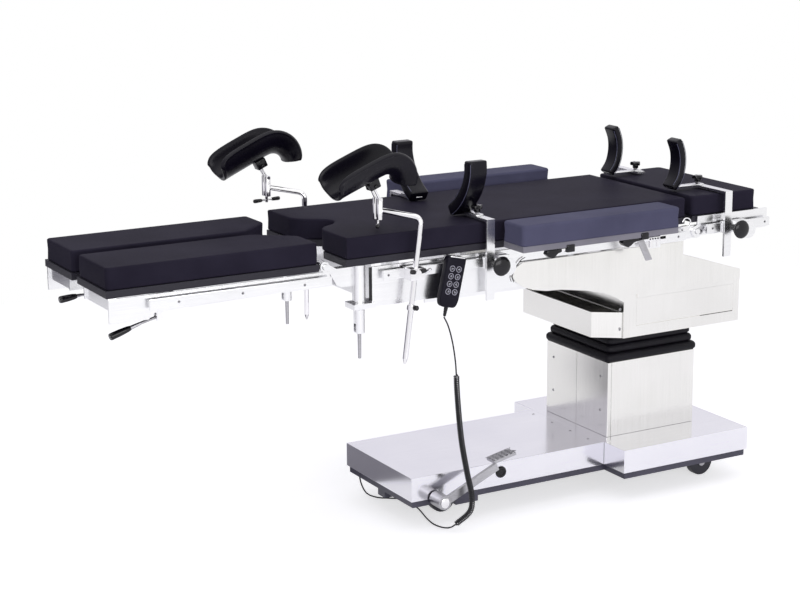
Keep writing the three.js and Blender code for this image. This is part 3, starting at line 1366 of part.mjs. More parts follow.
// Points along a cord, its skin, and the curls that wind round their centre line
const curls = 58;
const curlSteps = 8;
const curlSides = 5;
const reliefX = handsetX - (handsetHeight + reliefLength) * Math.sin(handsetTilt);
const reliefZ = handsetTopZ - (handsetHeight + reliefLength) * Math.cos(handsetTilt);
const cordTopPoints = [[reliefX - 1, handsetY, reliefZ - 1.6], [-614, -287, 640], [-600, -288, 590], [-590, -288, 530], [-587, -288, 492]];
const curlPoints = [[-587, -288, 491.7], [-585, -288.5, 440], [-571, -289, 295], [-552, -290, 190], [-536, -291, 111], [-540, -289, 70], [-575, -262, 25]];
const cordLowPoints = [[-575.5, -261.6, 24.6], [-584, -250, 14], [-592, -225, 7], [-598, -180, 3.6], [-592, -131, 3.2],
  [-568, -29, 3.2], [-562, 57, 3.2], [-600, 95, 3.2], [-626, 118, 3.2], [-648, 150, 12], [glandX, 176, 46], [glandX, glandY, 70],
  [glandX, glandY, glandZ - gap]];

function curveOf(points) {
  return new THREE.CatmullRomCurve3(points.map((point) => new THREE.Vector3(...point)), false, 'centripetal');
}

function curlLine(curve) {
  const count = curls * curlSteps;
  const frames = curve.computeFrenetFrames(count, false);
  const lead = curlWire / curve.getLength();
  const centre = (share) => curve.getPointAt(lead + share * (1 - 2 * lead));
  const line = [curve.getPointAt(0)];
  for (let k = 0; k <= count; k++) {
    const angle = 2 * Math.PI * k / curlSteps;
    const swell = Math.min(1, k / curlSteps, (count - k) / curlSteps);
    line.push(centre(k / count)
      .addScaledVector(frames.normals[k], curlRadius * swell * Math.cos(angle))
      .addScaledVector(frames.binormals[k], curlRadius * swell * Math.sin(angle)));
  }
  line.push(curve.getPointAt(1));
  return line;
}

function skin(line, radius, count) {
  const along = line.map((point, k) => line[Math.min(k + 1, line.length - 1)].clone()
    .sub(line[Math.max(k - 1, 0)]).normalize());
  let normal = new THREE.Vector3(0, 1, 0).cross(along[0]).normalize();
  const rings = line.map((point, k) => {
    normal = normal.clone().addScaledVector(along[k], -normal.dot(along[k])).normalize();
    const other = along[k].clone().cross(normal);
    return Array.from({ length: count }, (_, n) => {
      const angle = 2 * Math.PI * n / count;
      return point.clone().addScaledVector(normal, radius * Math.cos(angle)).addScaledVector(other, radius * Math.sin(angle));
    });
  });
  return loft(rings);
}

const curlCentre = curlLine(curveOf(curlPoints));
let least = Infinity;
curlCentre.forEach((point, k) => {
  for (let other = k + curlSteps - 2; other < curlCentre.length; other++) {
    least = Math.min(least, point.distanceTo(curlCentre[other]) - curlWire);
  }
});
console.log('least gap between curls of the cord, mm: ' + least.toFixed(2));
piece('cord_top', tube(curveOf(cordTopPoints), cordDiameter / 2, 10, 8), 'rubber');
piece('curly_cord', skin(curlCentre, curlWire / 2, curlSides), 'rubber');
piece('cord_low', tube(curveOf(cordLowPoints), cordDiameter / 2, 40, 8), 'rubber');

// The origin is set under the middle of everything but the cord
const box = new THREE.Box3();
table.updateMatrixWorld(true);
table.traverse((item) => {
  if (item.isMesh && !cordNames.includes(item.name)) {
    box.expandByObject(item, true);
  }
});
const middle = box.getCenter(new THREE.Vector3());
table.position.set(-middle.x, -middle.y, -box.min.z);
const group = new THREE.Group();
group.add(table);

export default group;
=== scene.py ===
# Operating table with a carbon fiber top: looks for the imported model.
# Shapes are drawn in the part's own frame, in millimetres: X along the table from the seam
# between the two base covers, +X to the head end, Y across it, Z up from the floor.
import json
from math import cos, pi, radians, sin, tan

import bmesh
import bpy
from mathutils import Matrix, Vector


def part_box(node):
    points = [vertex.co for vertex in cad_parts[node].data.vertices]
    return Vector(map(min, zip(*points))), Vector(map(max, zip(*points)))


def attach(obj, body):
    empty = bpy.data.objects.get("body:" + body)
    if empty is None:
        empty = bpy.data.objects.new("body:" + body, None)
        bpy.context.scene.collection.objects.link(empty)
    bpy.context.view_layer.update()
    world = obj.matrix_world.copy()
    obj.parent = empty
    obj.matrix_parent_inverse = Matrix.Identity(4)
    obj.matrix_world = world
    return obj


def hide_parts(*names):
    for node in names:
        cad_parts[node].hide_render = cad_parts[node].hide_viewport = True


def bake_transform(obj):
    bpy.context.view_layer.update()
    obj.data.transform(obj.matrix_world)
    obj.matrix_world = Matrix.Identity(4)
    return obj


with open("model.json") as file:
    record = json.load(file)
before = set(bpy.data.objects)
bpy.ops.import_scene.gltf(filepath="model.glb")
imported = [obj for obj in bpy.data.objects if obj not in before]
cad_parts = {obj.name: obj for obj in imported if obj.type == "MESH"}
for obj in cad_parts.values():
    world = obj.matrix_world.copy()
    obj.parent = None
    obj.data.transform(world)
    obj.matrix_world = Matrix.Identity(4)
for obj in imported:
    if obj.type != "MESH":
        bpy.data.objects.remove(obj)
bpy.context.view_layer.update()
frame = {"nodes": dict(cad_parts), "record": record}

MM = 0.001
moved = Matrix.Translation
SIDES = {"near": -1, "far": 1}
X_AXIS, Y_AXIS, Z_AXIS = Vector((1, 0, 0)), Vector((0, 1, 0)), Vector((0, 0, 1))
# Ends of the middle pad
MIDDLE_START, MIDDLE_END = -916, 250

pad_low, pad_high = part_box("main_pad")
ORIGIN = Vector((pad_high.x - MIDDLE_END * MM, (pad_low.y + pad_high.y) / 2, 0))
TO_SCENE = moved(ORIGIN) @ Matrix.Scale(MM, 4)


def point(x, y, z):
    """A point of the part's frame as a point of the scene, in metres."""
    return TO_SCENE @ Vector((x, y, z))


def placed(name, data):
    """A new object in the scene."""
    thing = bpy.data.objects.new(name, data)
    bpy.context.scene.collection.objects.link(thing)
    return thing


def at_height(z):
    return moved((0, 0, z))


def about(axis, degrees):
    return Matrix.Rotation(radians(degrees), 4, axis)


# Camera: the photograph's view, a long lens from the foot end's near side, with its angles in degrees
CAMERA_AT = (-3307.53, -4770.42, 1973.31)
YAW, PITCH, ROLL = 29.508866, -13.528275, -0.460371
LENS = 85.404


def place_camera():
    camera = placed("camera", bpy.data.cameras.new("camera"))
    camera.data.sensor_width = 36
    camera.data.lens = LENS
    camera.data.clip_end = 60
    turn = about("Z", -YAW) @ about("X", 90 + PITCH) @ about("Z", ROLL)
    camera.matrix_world = moved(point(*CAMERA_AT)) @ turn
    bpy.context.scene.camera = camera


place_camera()


# Materials
def linear(colour):
    """An sRGB hex colour as the linear colour that the shaders take."""
    parts = [int(colour[k:k + 2], 16) / 255 for k in (1, 3, 5)]
    return [p / 12.92 if p <= 0.04045 else ((p + 0.055) / 1.055) ** 2.4 for p in parts] + [1]


def add(tree, kind, inputs=None, **settings):
    """A shader node with its settings; an input takes a value or another node's output."""
    node = tree.nodes.new("ShaderNode" + kind)
    for name, value in settings.items():
        setattr(node, name, value)
    for name, value in (inputs or {}).items():
        if isinstance(value, bpy.types.NodeSocket):
            tree.links.new(value, node.inputs[name])
        else:
            node.inputs[name].default_value = value
    return node


def maths(tree, operation, first, second):
    """The result of one sum with two values."""
    return add(tree, "Math", {0: first, 1: second}, operation=operation).outputs[0]


def finish(name, colour, roughness, metallic=0, shine=0.5):
    """A material with its plain values set on the shader's own sockets."""
    material = bpy.data.materials.new(name)
    material.use_nodes = True
    shader = material.node_tree.nodes["Principled BSDF"]
    values = {"Base Color": linear(colour), "Roughness": roughness, "Metallic": metallic,
              "Specular IOR Level": shine}
    for socket, value in values.items():
        shader.inputs[socket].default_value = value
    material.diffuse_color = linear(colour)
    return material, material.node_tree, shader


def pattern(tree, kind, per_metre, stretch=(1, 1, 1), **inputs):
    """A noise or cell pattern on the piece's own metres, with so many features in one metre."""
    place = add(tree, "TexCoord").outputs["Object"]
    turned = add(tree, "Mapping", {"Vector": place, "Scale": stretch}).outputs["Vector"]
    return add(tree, kind, {"Vector": turned, "Scale": per_metre, **inputs})


def noise(tree, per_metre, detail=2, stretch=(1, 1, 1)):
    return pattern(tree, "TexNoise", per_metre, stretch, Detail=detail).outputs["Fac"]


def ramp(tree, factor, *stops):
    """Colours by a level: each stop is a level and a hex colour."""
    node = add(tree, "ValToRGB", {"Fac": factor})
    elements = node.color_ramp.elements
    while len(elements) < len(stops):
        elements.new(0.5)
    for element, (level, colour) in zip(elements, stops):
        element.position = level
        element.color = linear(colour)
    return node.outputs["Color"]


def tinted(tree, shader, factor, dark, light):
    """Colour between two hex values, by a pattern's level."""
    tree.links.new(ramp(tree, factor, (0.3, dark), (0.7, light)), shader.inputs["Base Color"])


def roughened(tree, shader, factor, low, high):
    """Roughness between two values, by a pattern's level."""
    levels = {"Value": factor, "From Min": 0.3, "From Max": 0.7, "To Min": low, "To Max": high}
    spread = add(tree, "MapRange", levels)
    tree.links.new(spread.outputs["Result"], shader.inputs["Roughness"])


def raised(tree, shader, height, strength, distance, normal=None):
    """A bump of a real depth in metres."""
    inputs = {"Height": height, "Strength": strength, "Distance": distance}
    if normal:
        inputs["Normal"] = normal
    bump = add(tree, "Bump", inputs)
    tree.links.new(bump.outputs["Normal"], shader.inputs["Normal"])
    return bump.outputs["Normal"]


def brushed_steel(name, dark, light, low, high, stretch):
    """Stainless steel brushed one way: the scratches are 0.3 mm wide, drawn about 2 mm wide
    and 150 mm long so that they show, and a broad cloudiness left by wiping."""
    material, tree, shader = finish(name, light, low, metallic=1)
    scratch = noise(tree, 420, 3, stretch)
    level = maths(tree, "MULTIPLY", maths(tree, "ADD", scratch, noise(tree, 5)), 0.5)
    tinted(tree, shader, level, dark, light)
    roughened(tree, shader, level, low, high)
    raised(tree, shader, scratch, 0.03, 0.0001)
    return material


def moulded_skin(name, dark, light, roughness, grain, depth, shine=0.5):
    """A moulded plastic or rubber skin: a fine grain all over and slight cloudiness of tone."""
    material, tree, shader = finish(name, light, roughness, shine=shine)
    fine = noise(tree, 1 / grain)
    tinted(tree, shader, noise(tree, 9), dark, light)
    roughened(tree, shader, fine, roughness - 0.05, roughness + 0.07)
    raised(tree, shader, fine, 0.3, depth)
    return material


# A look is the name of a slot and its material.
# Brushed stainless strip and plate: long soft scratches along the table, near white
STEEL = "stainless", brushed_steel("brushed_stainless", "#ebebed", "#f7f7f8", 0.17, 0.28, (0.014, 1, 1))
# Column and housing sheet, brushed upright
SHEET = "stainless", brushed_steel("brushed_stainless_sheet", "#e6e5e1", "#f3f2ef", 0.15, 0.24, (1, 1, 0.014))
# Base cover sheet: fine brushing and a low sheen in which the column shows
COVER = "stainless", brushed_steel("satin_stainless_cover", "#e8e7ee", "#f3f2f7", 0.12, 0.19, (0.014, 1, 1))
# Hard chromium plate on turned steel: clean and bright with faint turning marks
CHROME = "chrome", brushed_steel("chromium_plate", "#eae9ec", "#f8f7f8", 0.06, 0.11, (1, 1, 0.2))
# Machined carbon steel of fasteners and levers, greyer than the sheet
DARK_STEEL = "steel", brushed_steel("machined_steel", "#9d9ca0", "#c2c1c5", 0.26, 0.4, (0.2, 0.2, 1))
# Small bright parts among the machined ones
BRIGHT_STEEL, BAR_STEEL = ("steel", CHROME[1]), ("steel", STEEL[1])


def upholstery(name, dark, light):
    """Polyurethane coated upholstery moulded on foam: matt, with a leather grain of about
    1.4 mm cells and hardly any shine."""
    material, tree, shader = finish(name, light, 0.6, shine=0.03)
    cells = pattern(tree, "TexVoronoi", 700).outputs["Distance"]
    fine = noise(tree, 1600)
    tinted(tree, shader, noise(tree, 7, 3), dark, light)
    roughened(tree, shader, fine, 0.5, 0.64)
    raised(tree, shader, fine, 0.1, 0.0001, raised(tree, shader, cells, 0.2, 0.0003))
    return material


def laminate():
    """Compact laminate board: dark grey and matt, with fine flecks."""
    material, tree, shader = finish("compact_laminate", "#2b2932", 0.42, shine=0.3)
    fleck = noise(tree, 900)
    tinted(tree, shader, fleck, "#26242d", "#312f39")
    roughened(tree, shader, fleck, 0.38, 0.5)
    raised(tree, shader, fleck, 0.1, 0.0001)
    return material


# Table pads, near black with a violet cast
PADDING = "padding", upholstery("polyurethane_upholstery", "#262330", "#2e2b39")
# Arm pads in the same covering, painted a paler slate tone: a painted sheen that stands in for the light
# their sides take
PAINTED_SHEEN_PADDING = "padding", upholstery("polyurethane_upholstery_painted_sheen", "#54546b", "#5e5e77")
BOARD = "board", laminate()
# Moulded looks below: dark and light tone, roughness, size and depth of the grain in metres, shine
# The arm boards, paler than the others
PALE_BOARD = "board", moulded_skin("compact_laminate_pale", "#85838d", "#93919b", 0.4, 0.0011, 0.0001, 0.3)
# Integral-skin polyurethane of the troughs and supports: black, satin, very fine skin
SKIN = "support_padding", moulded_skin(
    "integral_skin_polyurethane", "#0a0812", "#100d1a", 0.27, 0.0011, 0.00012, 0.22)
# The same skin painted pale slate on thin beads along the side supports' edges: a painted highlight
PAINTED_HIGHLIGHT_SKIN = "support_padding", moulded_skin(
    "integral_skin_polyurethane_painted_highlight", "#5c5c74", "#676680", 0.38, 0.0011, 0.00012, 0.3)
# Glass-filled nylon of knobs, grips, latches and keys: black with a light sheen
NYLON = "moulded", moulded_skin("glass_filled_nylon", "#0c0b10", "#131118", 0.16, 0.0008, 0.00006, 0.4)
# Handset case, the same nylon with a violet cast and a duller face
CASE = "moulded", moulded_skin("handset_nylon", "#14121c", "#1b1925", 0.42, 0.0008, 0.0001, 0.12)
# Silicone rubber bellows: black and slightly dusty on its folds
BELLOWS = "bellows", moulded_skin("silicone_rubber_bellows", "#0e0d13", "#15131b", 0.5, 0.0012, 0.0002, 0.2)
# Iron chassis with a textured powder coat, blue grey in the light
IRON = "cast_base", moulded_skin("powder_coated_iron", "#3f3d4c", "#4d4b5b", 0.36, 0.0016, 0.0003)
# Polyurethane tyres
TYRE = "wheel", moulded_skin("polyurethane_tyre", "#22212a", "#2d2c36", 0.45, 0.0012, 0.0002)
# PVC cord jacket, smooth with faint lay marks
JACKET = "cord", moulded_skin("pvc_cord_jacket", "#141318", "#1e1d24", 0.36, 0.0015, 0.0001)
# Key print and key rings, pale grey ink on the black case
INK = "moulded", moulded_skin("screen_print_ink", "#a9a8b8", "#c3c2d0", 0.5, 0.0006, 0.00002)


# Making meshes
def hard_edges(bm, degrees):
    """Edges where two faces meet at more than an angle."""
    return [e for e in bm.edges if e.calc_face_angle(0) > radians(degrees)]


def bevelled(bm, edges, width, segments, clamp=False):
    bmesh.ops.bevel(bm, geom=edges, offset=width, segments=segments, profile=0.5,
                    affect="EDGES", material=-1, clamp_overlap=clamp)


def hung_piece(name, bm, body, look, sharp):
    """Makes a piece of a shape in scene metres and hangs it on a body."""
    slot, material = look
    for face in bm.faces:
        face.smooth = True
    for edge in hard_edges(bm, sharp):
        edge.smooth = False
    mesh = bpy.data.meshes.new(name)
    bm.to_mesh(mesh)
    bm.free()
    mesh.materials.append(material)
    piece = placed(name, mesh)
    if body:
        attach(piece, body)
    return piece


def new_piece(name, bm, body, look, sharp=38):
    """Puts a shape drawn in millimetres in its place and hangs it on a body."""
    bmesh.ops.remove_doubles(bm, verts=bm.verts, dist=0.002)
    bmesh.ops.transform(bm, matrix=TO_SCENE, verts=bm.verts)
    bmesh.ops.recalc_face_normals(bm, faces=bm.faces)
    return hung_piece(name, bm, body, look, sharp)


def modified(piece, kind, **settings):
    modifier = piece.modifiers.new(kind.title(), kind)
    for name, value in settings.items():
        setattr(modifier, name, value)


def facing(place, ahead):
    """A matrix at a place whose Z runs ahead."""
    return moved(place) @ Z_AXIS.rotation_difference(Vector(ahead).normalized()).to_matrix().to_4x4()


def ring(bm, corners, corner=0.0, segments=3):
    """Edges of a closed outline in X and Y with its corners rounded."""
    face = bm.faces.new([bm.verts.new((x, y, 0)) for x, y in corners])
    if corner:
        bmesh.ops.bevel(bm, geom=list(face.verts), offset=corner, segments=segments, profile=0.5,
                        affect="VERTICES", material=-1, clamp_overlap=True)
    bm.faces.ensure_lookup_table()
    face = bm.faces[-1]
    edges = list(face.edges)
    bmesh.ops.delete(bm, geom=[face], context="FACES_ONLY")
    return edges


def around(radius, sides):
    """Corners of a regular outline."""
    turns = [2 * pi * k / sides for k in range(sides)]
    return [(radius * cos(t), radius * sin(t)) for t in turns]


def swept(bm, edges, places, capped=True):
    """Pushes an outline from place to place; each place is a matrix for the drawn outline."""
    first = edges
    verts = list(dict.fromkeys(v for e in edges for v in e.verts))
    bmesh.ops.transform(bm, matrix=places[0], verts=verts)
    for before, after in zip(places, places[1:]):
        made = bmesh.ops.extrude_edge_only(bm, edges=edges)["geom"]
        verts = [g for g in made if isinstance(g, bmesh.types.BMVert)]
        fresh = set(verts)
        edges = [g for g in made if isinstance(g, bmesh.types.BMEdge) and set(g.verts) <= fresh]
        bmesh.ops.transform(bm, matrix=after @ before.inverted(), verts=verts)
    if capped:
        bmesh.ops.contextual_create(bm, geom=first)
        bmesh.ops.contextual_create(bm, geom=edges)
    return edges


def heading(path, k):
    """The direction of a path at one of its points."""
    return (path[min(k + 1, len(path) - 1)] - path[max(k - 1, 0)]).normalized()


def along(points):
    """A matrix at each point of a path: Z runs along the path and nothing twists."""
    points = [Vector(p) for p in points]
    places = []
    last = Z_AXIS
    turn = Matrix.Identity(3)
    for k, here in enumerate(points):
        ahead = heading(points, k)
        turn = last.rotation_difference(ahead).to_matrix() @ turn
        last = ahead
        places.append(moved(here) @ turn.to_4x4())
    return places


def tube(bm, points, radius, sides=16):
    """A round bar along a path."""
    swept(bm, ring(bm, around(radius, sides)), along(points))


def rod(bm, start, end, radius, tip=None, sides=24):
    """A straight round bar, tapered when the tip's radius differs."""
    start, end = Vector(start), Vector(end)
    share = 1 if tip is None else tip / radius
    places = [facing(start, end - start), facing(end, end - start) @ Matrix.Scale(share, 4)]
    swept(bm, ring(bm, around(radius, sides)), places)


def block(bm, xs, ys, zs, place=Matrix.Identity(4)):
    """A rectangular block between two values on each axis."""
    size = Vector((abs(xs[1] - xs[0]), abs(ys[1] - ys[0]), abs(zs[1] - zs[0])))
    middle = Vector((sum(xs), sum(ys), sum(zs))) / 2
    matrix = place @ moved(middle) @ Matrix.Diagonal(size).to_4x4()
    bmesh.ops.create_cube(bm, size=1, matrix=matrix)


def eased(bm, width, degrees=35, segments=2):
    """Rounds the hard edges of a shape."""
    bevelled(bm, hard_edges(bm, degrees), width, segments)


def turned(bm, outline, place, steps=24):
    """A shape turned on a lathe: the outline gives radius and height from the axis end up."""
    others = set(bm.verts)
    verts = [bm.verts.new((radius, 0, height)) for radius, height in outline]
    edges = [bm.edges.new(pair) for pair in zip(verts, verts[1:])]
    bmesh.ops.spin(bm, geom=verts + edges, cent=(0, 0, 0), axis=(0, 0, 1), dvec=(0, 0, 0),
                   angle=2 * pi, steps=steps, use_merge=True, use_duplicate=False)
    bmesh.ops.remove_doubles(bm, verts=[v for v in bm.verts if v not in others], dist=0.001)
    bmesh.ops.transform(bm, matrix=place, verts=[v for v in bm.verts if v not in others])


# Fine steps between two stops of a smooth curve
SMOOTH_STEPS = 40


def smooth_route(stops, count):
    """Evenly spaced points on a smooth curve through the stops."""
    stops = [Vector(s) for s in stops]
    stops = [2 * stops[0] - stops[1]] + stops + [2 * stops[-1] - stops[-2]]
    fine = [stops[1]]
    for a, b, c, d in zip(stops, stops[1:], stops[2:], stops[3:]):
        ab, bc, cd = [(q - p).length ** 0.5 for p, q in ((a, b), (b, c), (c, d))]
        start = ((b - a) / ab - (c - a) / (ab + bc) + (c - b) / bc) * bc
        end = ((c - b) / bc - (d - b) / (bc + cd) + (d - c) / cd) * bc
        for k in range(1, SMOOTH_STEPS + 1):
            t = k / SMOOTH_STEPS
            fine.append((2 * t ** 3 - 3 * t ** 2 + 1) * b + (t ** 3 - 2 * t ** 2 + t) * start
                        + (3 * t ** 2 - 2 * t ** 3) * c + (t ** 3 - t ** 2) * end)
    runs = [0.0]
    for p, q in zip(fine, fine[1:]):
        runs.append(runs[-1] + (q - p).length)
    route, at = [], 0
    for k in range(count + 1):
        goal = runs[-1] * k / count
        while at < len(runs) - 2 and runs[at + 1] < goal:
            at += 1
        share = (goal - runs[at]) / (runs[at + 1] - runs[at])
        route.append(fine[at].lerp(fine[at + 1], min(1, max(0, share))))
    return route


def bent(start, corner, end, steps):
    """Points after the start of a bend that is pulled to its corner."""
    shares = [k / steps for k in range(1, steps + 1)]
    return [(1 - t) ** 2 * start + 2 * t * (1 - t) * corner + t ** 2 * end for t in shares]


def rounded_path(points, radius, steps=6):
    """A path of straight runs with its corners bent to a radius."""
    points = [Vector(p) for p in points]
    path = [points[0]]
    for before, corner, after in zip(points, points[1:], points[2:]):
        inward, outward = (before - corner).normalized(), (after - corner).normalized()
        reach = radius / tan(inward.angle(outward) / 2)
        start, end = corner + inward * reach, corner + outward * reach
        path += [start, *bent(start, corner, end, steps)]
    return path + [points[-1]]


# Cords: the handset's lead, the curled cord that hangs free, and the lead under the base
CORD, WIRE = 4.6, 3.8
CURLS = 90
CURL_RADIUS = 7.2
TURN_POINTS = 14
CORD_TOP = [(-626.5, -286, 665.7), (-614, -287, 640), (-600, -288, 590), (-590, -288, 530), (-587, -288, 492)]
CORD_CURLED = [(-587, -288, 491.7), (-585, -288.5, 440), (-571, -289, 295), (-552, -290, 190),
               (-536, -291, 111), (-540, -289, 70), (-575, -262, 25)]
CORD_LOW = [(-575.5, -261.6, 24.6), (-584, -250, 14), (-592, -225, 7), (-598, -180, 3.6), (-592, -131, 3.2),
            (-568, -29, 3.2), (-562, 57, 3.2), (-600, 95, 3.2), (-626, 118, 3.2), (-648, 150, 12),
            (-655, 176, 46), (-655, 180, 70), (-655, 180, 83.7)]


def straight_cord(name, node, body, route):
    """A straight cord: one open spline with round thickness, drawn from its exit."""
    data = bpy.data.curves.new(name, "CURVE")
    data.dimensions = "3D"
    spline = data.splines.new("POLY")
    spline.points.add(len(route) - 1)
    for knot, place in zip(spline.points, route):
        knot.co = (*point(*place), 1)
    data.bevel_depth = CORD / 2 * MM
    data.bevel_resolution = 4
    data.use_fill_caps = True
    slot, material = JACKET
    data.materials.append(material)
    piece = placed(name, data)
    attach(piece, body)
    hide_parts(node)


def curled(centre):
    """The wire's own line: it winds round the centre line and starts and ends on it."""
    places = along(centre)
    last = len(centre) - 1
    line = []
    for k, place in enumerate(places):
        turn = 2 * pi * k / TURN_POINTS
        swell = min(1, k / TURN_POINTS, (last - k) / TURN_POINTS) * CURL_RADIUS
        line.append(place @ Vector((swell * cos(turn), swell * sin(turn), 0)))
    return line


def make_cords():
    straight_cord("cord_lead", "cord_top", "table_top", smooth_route(CORD_TOP, 24))
    straight_cord("cord_tail", "cord_low", "base", smooth_route(CORD_LOW, 40)[::-1])
    line = curled(smooth_route(CORD_CURLED, CURLS * TURN_POINTS))
    bm = bmesh.new()
    tube(bm, line, WIRE / 2, 8)
    coil = new_piece("curled_cord", bm, None, JACKET, sharp=60)
    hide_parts("curly_cord")
    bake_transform(coil)


make_cords()


# Pads: firm moulded foam with crisp top edges, flat sides that belly slightly and a low crown
PAD_HALF = 250
PAD_ZS = (858, 918)
LEG_PAD_ZS = (851, 911)
ARM_PAD_LOW = {"near": 866, "far": 884}
PAD_THICK = 60
FOOT_EDGE = 4.0
CROWN = 1.5
# Steps in from the edge of the top, with each step's share of the crown
CROWN_STEPS = ((5, 0.3), (14, 0.4), (24, 0.3))
# The seat's bay: where it leaves the foot end, its curl, its shoulder, its swell and its middle
BAY = [Vector(p) for p in ((MIDDLE_START, 116), (-915, 84), (-887, 60), (-829, 34), (-828, 0))]
LEG_PAD = [(-1611, 24.5), (-1098, 24.5), (-995, 112.5), (-995, 230.5), (-1611, 230.5)]


def rounded_corners(xs, ys):
    return [(xs[0], ys[0]), (xs[1], ys[0]), (xs[1], ys[1]), (xs[0], ys[1])]


def pad_shape(outline, corner, zs, top_edge=5.0, belly=1.2):
    """A pad over an outline: rounded upright corners, a soft top edge and crown, bellied sides."""
    bm = bmesh.new()
    low, high = zs
    heights = [low, low + FOOT_EDGE, (low + high) / 2, high - top_edge, high]
    swept(bm, ring(bm, outline, corner, 5), [at_height(z) for z in heights])
    for height, width, segments in ((low, FOOT_EDGE * 0.96, 4), (high, top_edge * 0.96, 5)):
        rim = [e for e in hard_edges(bm, 57) if all(abs(v.co.z - height) < 1e-4 for v in e.verts)]
        bevelled(bm, rim, width, segments)
    bm.normal_update()
    for vert in bm.verts:
        if abs(vert.co.z - (low + high) / 2) < 1e-3:
            vert.co += Vector((vert.normal.x, vert.normal.y, 0)).normalized() * belly
    tops = [f for f in bm.faces if abs(f.normal.z) > 0.99 and abs(f.calc_center_median().z - high) < 0.01]
    for inset, share in CROWN_STEPS:
        bmesh.ops.inset_region(bm, faces=tops, thickness=inset, depth=0, use_even_offset=True,
                               use_boundary=True)
        inner = list(dict.fromkeys(v for f in tops for v in f.verts))
        bmesh.ops.translate(bm, vec=(0, 0, CROWN * share), verts=inner)
        bmesh.ops.remove_doubles(bm, verts=inner, dist=4)
        tops = [f for f in tops if f.is_valid]
    return bm


def make_pad(name, node, body, outline, corner, zs, look=PADDING, **shape):
    piece = new_piece(name, pad_shape(outline, corner, zs, **shape), body, look, sharp=60)
    modified(piece, "WEIGHTED_NORMAL", keep_sharp=True)
    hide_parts(node)


def seat_outline():
    """The middle pad's outline: square ends, and a bay for the seat at the foot end."""
    start, curl, shoulder, swell, middle = BAY
    bay = [start, *bent(start, curl, shoulder, 7), *bent(shoulder, swell, middle, 10)]
    square = rounded_corners((MIDDLE_START, MIDDLE_END), (-PAD_HALF, PAD_HALF))
    return square + bay + [(x, -y) for x, y in bay[-2::-1]]


def make_pads():
    make_pad("middle_pad", "main_pad", "table_top", seat_outline(), 0, PAD_ZS)
    outline = rounded_corners((282, 530), (-247, 247))
    make_pad("head_rest_pad", "head_pad", "head_section", outline, 14, PAD_ZS)
    for place, side in SIDES.items():
        make_pad("leg_rest_pad_" + place, "leg_pad_" + place, "leg_" + place,
                 [(x, side * y) for x, y in LEG_PAD], 12, LEG_PAD_ZS)
        low = ARM_PAD_LOW[place]
        make_pad("arm_rest_pad_" + place, "arm_pad_" + place, "arm_rest_" + place,
                 rounded_corners((-434, 120), sorted((side * 290, side * 398))), 14, (low, low + PAD_THICK),
                 PAINTED_SHEEN_PADDING, top_edge=7, belly=2.0)


make_pads()


# Leg supports: black troughs that curl down at the knee, on chromed posts with a clamped head
# Where each trough's pivot lies, and its turns and the T handle's in degrees
TROUGHS = {
    "near": {"head": (-785, -191, 1006), "yaw": 4, "pitch": 20, "roll": 8, "tee": 56},
    "far": {"head": (-871, 349, 997), "yaw": 0, "pitch": 24, "roll": -3, "tee": 8},
}
TROUGH_FLOOR, TROUGH_HALF, TROUGH_RIM, TROUGH_WALL = 60, 51.5, 76, 13
KNEE_START, KNEE_RADIUS, KNEE_CURL = 30, 42, 98
POSTS = {
    "near": {"clamp": -722, "lean": radians(7.8), "tip": 255, "rise": 163},
    "far": {"clamp": -774, "lean": 0.0, "tip": 243, "rise": 150},
}
POST_Y, CLAMP_Z = 287, 799
TEE_DROP = 69


def trough_section(rim):
    """The middle of the trough's wall from rim to rim, as reach and height, with flared lips."""
    turns = [radians(-84 + 12 * k) for k in range(15)]
    floor = TROUGH_WALL / 2
    section = [(TROUGH_HALF * sin(t), floor + (rim - floor) * (1 - cos(t))) for t in turns]
    lip = [(52.6, rim * 0.97), (55.4, rim + 1.2)]
    return [(-y, h) for y, h in lip[::-1]] + section + lip


def trough_stations():
    """Places along the floor, with the turn there and the rim's share of its full height."""
    straight = [(-131, 0.6), (-128, 0.74), (-119, 0.87), (-104, 0.95), (-75, 1), (-20, 1), (30, 1)]
    stations = [(x, 0, 0, share) for x, share in straight]
    for k, share in ((1, 0.98), (2, 0.93), (3, 0.85), (4, 0.74), (5, 0.6), (5.7, 0.48), (6, 0.38)):
        angle = radians(KNEE_CURL) * k / 6
        x, z = KNEE_START + KNEE_RADIUS * sin(angle), -KNEE_RADIUS * (1 - cos(angle))
        stations.append((x, z, angle, share))
    return stations


def trough_shape():
    """An open U carried along the floor and round the knee, drawn as the wall's middle."""
    bm = bmesh.new()
    rows = []
    for x, z, angle, share in trough_stations():
        section = trough_section(TROUGH_RIM * share)
        rows.append([bm.verts.new((x + sin(angle) * h, y, z + cos(angle) * h)) for y, h in section])
    for before, after in zip(rows, rows[1:]):
        for a, b, c, d in zip(before, before[1:], after[1:], after):
            bm.faces.new((a, b, c, d))
    return bm


def turned_to(place):
    spec = TROUGHS[place]
    return moved(spec["head"]) @ about("Z", -SIDES[place] * spec["yaw"]) @ about("Y", -spec["pitch"])


